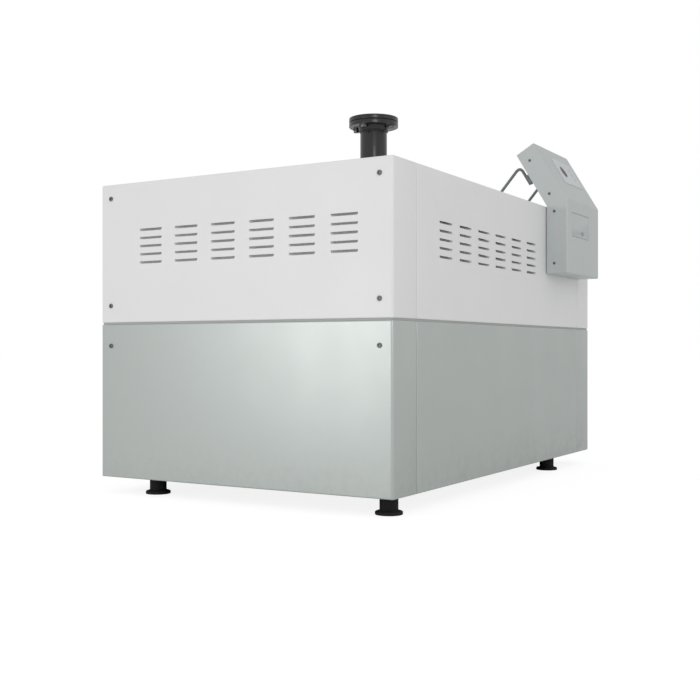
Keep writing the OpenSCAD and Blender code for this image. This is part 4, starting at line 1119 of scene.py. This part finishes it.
# %% Box cover
TURN_R, FACE_ROW, SLOPE_ROW = 3, 5, 10
FLAP_OPENING = (60, 289, -127, -24)
PLATE_X, PLATE_UP, PLATE_L, PLATE_H = 135, 104, 243, 134
WINDOW_AT = np.array((PLATE_X + 65.5, PLATE_UP + 67))
key_at = [np.array((PLATE_X + 181, PLATE_UP + 41 + 26 * k)) for k in range(3)]
on_slope = stand(box_lift(np.array([0, *knee])), SLOPE_WAY)


def strip_column(x, inwards):
    """The outline at one place along the box, drawn in by a distance."""
    path = side_path(inwards)
    return np.column_stack([np.full(len(path), x), path])


def span(y0, y1):
    """The flat part between the two turned edges, from y0 to y1."""
    return np.array([(TURN_R, y0), (BOX_W - TURN_R, y0), (BOX_W - TURN_R, y1), (TURN_R, y1)])


def on_face(plane):
    """(along the box, above the casing's top) on the upright face."""
    out = np.full(len(plane), float(BOX_OUT))
    return box_lift(np.column_stack([plane[:, 0], out, plane[:, 1]]))


turns = list(zip(*bend(TURN_R, 4)))
columns = [(TURN_R - sine, rest) for sine, rest in turns[::-1]]
columns += [(BOX_W - TURN_R + sine, rest) for sine, rest in turns]
strip = np.stack([strip_column(x, rest) for x, rest in columns], 1)
front = flat([span(strip[FACE_ROW, 4, 2], strip[FACE_ROW + 1, 4, 2]),
              rounded(*FLAP_OPENING, 2.0, 3)], on_face)
slope_ends = [np.linalg.norm(strip[row, 4, 1:] - knee) for row in (SLOPE_ROW, SLOPE_ROW + 1)]
openings = [circle(25, 48, WINDOW_AT)] + [circle(6.8, 24, c) for c in key_at]
slope = flat([span(*slope_ends)] + openings, on_slope)
cheek = np.vstack([side_path(TURN_R), BACK_BEND])
cheeks = [flat([cheek], lambda p, x=x: box_lift(np.column_stack([np.full(len(p), x), p])))
          for x in (0.0, BOX_W)]
folded = grid(box_lift(strip), skip=[(FACE_ROW, 4), (SLOPE_ROW, 4)])
piece("box_cover_sheet", [folded, front, slope] + cheeks, "casing", "silver_coat",
      ["box_cover"], out=(0, -1, 0), wall=2.0)

# %% [markdown]
# The back is a bent plate with a flange up each side. It is hardly seen, so its
# CAD shape is only softened. Four screws in each cheek hold the cover to it.

# %% Box back and screws
edged("box_back", 0.6, "casing", "silver_coat")
BOX_HEAD = [(0, -8), (2.2, -8), (2.5, -7.6), (2.5, 0), (5.7, 0), (6, 0.3), (5.9, 1.4), (5.2, 2.4),
            (4.0, 3.0), (2.6, 3.0), (2.3, 2.8), (2.3, 1.2), (0, 1.0)]
box_heads = []
for out, rise in ((-73, 205), (16, 54), (38, -23), (38, -246)):
    for x, way in ((0.0, -1), (BOX_W, 1)):
        here = stand(box_lift(np.array([x, out, rise])), (way, 0, 0))
        box_heads.append(lathe(here, BOX_HEAD, 36, six=(10, 11)))
piece("box_screw_set", box_heads, "casing", "dark_zinc", ["box_screws"])

# %% [markdown]
# Two bent stays reach from the top covers to the box's back. A stay is a round
# bar along a line with one bend. The bend is a parabola through the corner, and
# the bar is swept along it. A foot plate and a welded block close the ends.

# %% Stays
STAY_R, STAY_INSET, STAY_BEND, STAY_FOOT = 6.5, 48, 30.0, 297.0
STAY_BACK, STAY_TOP, STAY_END, BLOCK_L = 23.5, 233, 138, 40
SLOPE_BACK = np.array([[math.cos(LEAN), -math.sin(LEAN)], [math.sin(LEAN), math.cos(LEAN)]])


def from_back(behind, height):
    """(behind the sloping back, up along it) as (behind the casing's front, above its top)."""
    return np.array([-BACK_BEND[0], BACK_BEND[1]]) + np.array([behind, height]) @ SLOPE_BACK


stay_line = [(STAY_FOOT, 0.0), from_back(STAY_BACK, STAY_TOP), from_back(STAY_BACK, STAY_END)]
line = soften(stay_line, STAY_BEND, 14)
block = slab((-14, STAY_END, 0), (14, STAY_END + BLOCK_L, STAY_BACK), 1.2)
stay_patches = []
for x in (STAY_INSET, BOX_W - STAY_INSET):
    path = box_lift(np.column_stack([np.full(len(line), x), -line[:, 0], line[:, 1]]))
    stay_patches += [sweep(path, STAY_R, (1, 0, 0)),
                     bead(stand(path[0], (0, 0, 1)), 6.9, 4.2, 1.8, 14)]
    plate = box_lift(np.array([[x - 20, 30 - STAY_FOOT, 0.0], [x + 20, -30 - STAY_FOOT, 4.0]]))
    stay_patches += slab(*plate, 1.0)
    at_back = stand(box_lift(np.array([x, *BACK_BEND])), (0, math.cos(LEAN), -math.sin(LEAN)))
    stay_patches += [(at_back(verts[:, :2] * (-1, 1), verts[:, 2]), cells)
                     for verts, cells in block]
piece("bent_stays", stay_patches, "casing", "stay_coat", ["box_stays"])

# %% [markdown]
# The light plate on the slope carries a round dark display and three keys. The
# plate is moulded, so its upper edge is round: rings of its outline step in as
# they rise. The display sits in a raised ring of its own.

# %% Display plate
PLATE_T, PLATE_R, PLATE_SOFT, WINDOW_R, KEY_R = 3.0, 9, 2.0, 29.05, 7.0


def plate_outline(k):
    """The plate's outline drawn in by k millimetres."""
    return rounded(PLATE_X + k, PLATE_X + PLATE_L - k, PLATE_UP + k, PLATE_UP + PLATE_H - k,
                   PLATE_R - k, 6)


plate_rows = [on_slope(plate_outline(0), 0.0)]
plate_rows += [on_slope(plate_outline(rest), PLATE_T - PLATE_SOFT + sine)
               for sine, rest in zip(*bend(PLATE_SOFT, 4))]
holes = [circle(WINDOW_R, 64, WINDOW_AT)] + [circle(KEY_R, 32, c) for c in key_at]
bezel = [grid(np.array(plate_rows), closed=True)]
for k, height in ((PLATE_SOFT, PLATE_T), (0, 0.0)):
    bezel.append(flat([plate_outline(k)] + holes, lambda p, height=height: on_slope(p, height)))
bezel += [grid(np.array([on_slope(loop, 0.0), on_slope(loop, PLATE_T)]), closed=True)
          for loop in holes]
at_window = stand(on_slope(WINDOW_AT[None])[0], SLOPE_WAY)
rim = soften([(WINDOW_R, 3.0), (33.2, 3.0), (32.4, 4.4), (29.4, 4.4), (WINDOW_R, 4.0)],
             [0, 0.2, 0.6, 0.2, 0], 3)
bezel.append(lathe(at_window, np.vstack([rim, rim[:1]])))
piece("display_plate", bezel, "casing", "bezel_plastic", ["display_bezel"])

# %% [markdown]
# The lens is a shallow dome: a short upright edge, then a quarter of an ellipse
# up to the middle. The keys are rubber caps with a slightly hollow top, each on a
# body of its own so that it can be pressed.

# %% Lens and keys
LENS_R, LENS_EDGE, LENS_RISE = 28.6, 1.9, 1.6
lens = [(0, 0), (LENS_R, 0), (28.95, 0.4), (28.95, 1.6)]
lens += [(LENS_R * math.cos(a), LENS_EDGE + LENS_RISE * math.sin(a))
         for a in np.linspace(0, math.pi / 2, 9)[:-1]]
lens.append((0, LENS_EDGE + LENS_RISE))
piece("display_lens", [lathe(at_window, lens)], "casing", "display_glass",
      ["display_window"])
CAP = [(0, -4.3), (9.3, -4.3), (9.5, -4.1), (9.5, -2.5), (9.3, -2.3), (6.5, -2.3), (6.5, 3.2),
       (6.2, 3.9), (5.4, 4.2), (3.5, 4.05), (1.8, 3.85), (0, 3.8)]
for name, spot in zip(("key_down", "key_up", "key_enter"), key_at):
    here = stand(on_slope(spot[None])[0], SLOPE_WAY)
    piece("cap_of_" + name, [lathe(here, CAP, 40)], name, "key_rubber", [name])

# %% [markdown]
# The service flap closes flush with the face. It hangs on a pin along its upper
# edge, and a quarter-turn lock holds it shut. The power switch and the reset
# button sit behind it on a small switch panel.

# %% Flap and lock
edged("service_flap", 0.6, "flap", "silver_coat")
edged("flap_lock", 0.5, "lock", "bright_zinc", 3)
edged("switch_panel", 0.4, "casing", "frame_paint")
edged("power_switch", 0.6, "rocker", "dark_plastic", 3)
edged("reset_button", 0.8, "reset", "green_plastic", 3)

# %% [markdown]
# ## Connections and works
# The right end has two flanged water pipes and the flue socket. They stand free
# of the casing, so their edges are softened.

# %% Connections
edged("water_connections", 1.2, "casing", "black_enamel")
edged("flue_outlet", 0.6, "casing", "brushed_steel")

# %% [markdown]
# Everything behind the panels keeps its CAD shape and gets a finish of its own:
# steel where it is bare, heat colours near the flame, cast metal for the valve
# and the fan, and paint on the motor and the water headers.

# %% Inner parts
dress("frame_paint", "base_frame", "belt_rails")
dress("brushed_steel", "corner_posts", "top_frame", "fan_housing", "burner_plenum",
      "exhaust_collector", "fan_shaft", "flap_pin", "gas_valve_ball")
dress("heated_steel", "burner_plate", "combustion_chamber", "tube_bundle")
dress("cast_aluminium", "gas_control_block", "air_gas_mixer", "fan_impeller")
dress("motor_paint", "fan_motor", "water_headers")
dress("gasket_fibre", "flange_gasket")
dress("brass", "gas_valve_body")
dress("lever_red", "gas_valve_lever")
dress("mineral_wool", "insulation_boards")
dress("glazed_ceramic", "ignition_electrode")
dress("circuit_board", "circuit_boards")
print("dressed CAD nodes:", sum(1 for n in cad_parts.values() if not n.hide_render))

# %% [markdown]
# ## Floor and light
# The boiler stands on a pale floor in a white studio. A white floor alone would
# turn grey towards the horizon. So to the camera it glows a little, which keeps
# it white to its far edge, while the boiler sees only the paint.

# %% Floor
FLOOR_HALF = 40
GLOW_SHARE, GLOW = 0.75, 1.16


def pale_floor():
    """One large quad at height zero, its paint mixed with a glow for camera rays."""
    mesh = bpy.data.meshes.new("floor")
    edge = FLOOR_HALF
    mesh.from_pydata([(-edge, -edge, 0), (edge, -edge, 0), (edge, edge, 0), (-edge, edge, 0)], [],
                     [(0, 1, 2, 3)])
    made = bpy.data.objects.new("floor", mesh)
    bpy.context.scene.collection.objects.link(made)
    s = Shader("pale_floor")
    s.set(base_color=shade(238), roughness=0.9 + (s.noise(3.0) - 0.5) * 0.1)
    share = Value(s, s.node("ShaderNodeLightPath").outputs["Is Camera Ray"]) * GLOW_SHARE
    glow = s.node("ShaderNodeEmission", {}, {"Strength": GLOW}).outputs[0]
    both = s.node("ShaderNodeMixShader", {}, {0: share, 1: s.surface.outputs[0], 2: glow})
    s.tree.links.new(both.outputs[0], s.tree.nodes["Material Output"].inputs["Surface"])
    mesh.materials.append(s.material)


pale_floor()
print("floor:", 2 * FLOOR_HALF, "m square")

# %% [markdown]
# A soft key light stands off the near corner, so the end is brighter than the
# long front. A second soft light stands where the grey end panel mirrors it
# towards the camera, which draws a bright patch on the lacquer. A wide weak one
# lifts the long front. A disk gives a rounder highlight than a square.

# %% Lights
KEY, LEFT, FRONT = 20, 13, 4


def area_light(name, at, towards, size, power):
    """A glowing disk at a place, turned to look at another."""
    lamp = bpy.data.lights.new(name, "AREA")
    lamp.shape, lamp.size, lamp.energy = "DISK", size, power
    made = bpy.data.objects.new(name, lamp)
    made.location = at
    made.rotation_euler = (Vector(towards) - Vector(at)).to_track_quat("-Z", "Y").to_euler()
    bpy.context.scene.collection.objects.link(made)


area_light("key", (-3.6, -2.6, 2.2), (-1.0, -0.6, 0.8), 1.6, KEY)
area_light("left", (-3.9, 1.2, 0.9), (-1.0, -0.3, 0.4), 1.4, LEFT)
area_light("front", (0.6, -5.0, 1.6), (0.2, -0.6, 0.8), 3.0, FRONT)

# %% [markdown]
# The studio's walls are the world. They are seen white but give less light than
# they show, as if most of them were flagged off: one Map Range node picks the
# strength by whether the ray comes from the camera.

# %% Walls
WALLS, SEEN_WALLS = 0.68, 1.0
world = bpy.data.worlds.new("studio")
bpy.context.scene.world = world
world.use_nodes = True
tree = world.node_tree
seen = tree.nodes.new("ShaderNodeLightPath").outputs["Is Camera Ray"]
level_node = tree.nodes.new("ShaderNodeMapRange")
tree.links.new(seen, level_node.inputs["Value"])
level_node.inputs["To Min"].default_value = WALLS
level_node.inputs["To Max"].default_value = SEEN_WALLS
tree.nodes["Background"].inputs["Color"].default_value = (1, 1, 1, 1)
tree.links.new(level_node.outputs[0], tree.nodes["Background"].inputs["Strength"])
bpy.context.scene.view_settings.view_transform = "Standard"
print("walls:", WALLS, "to the boiler,", SEEN_WALLS, "to the camera")

# %% [markdown]
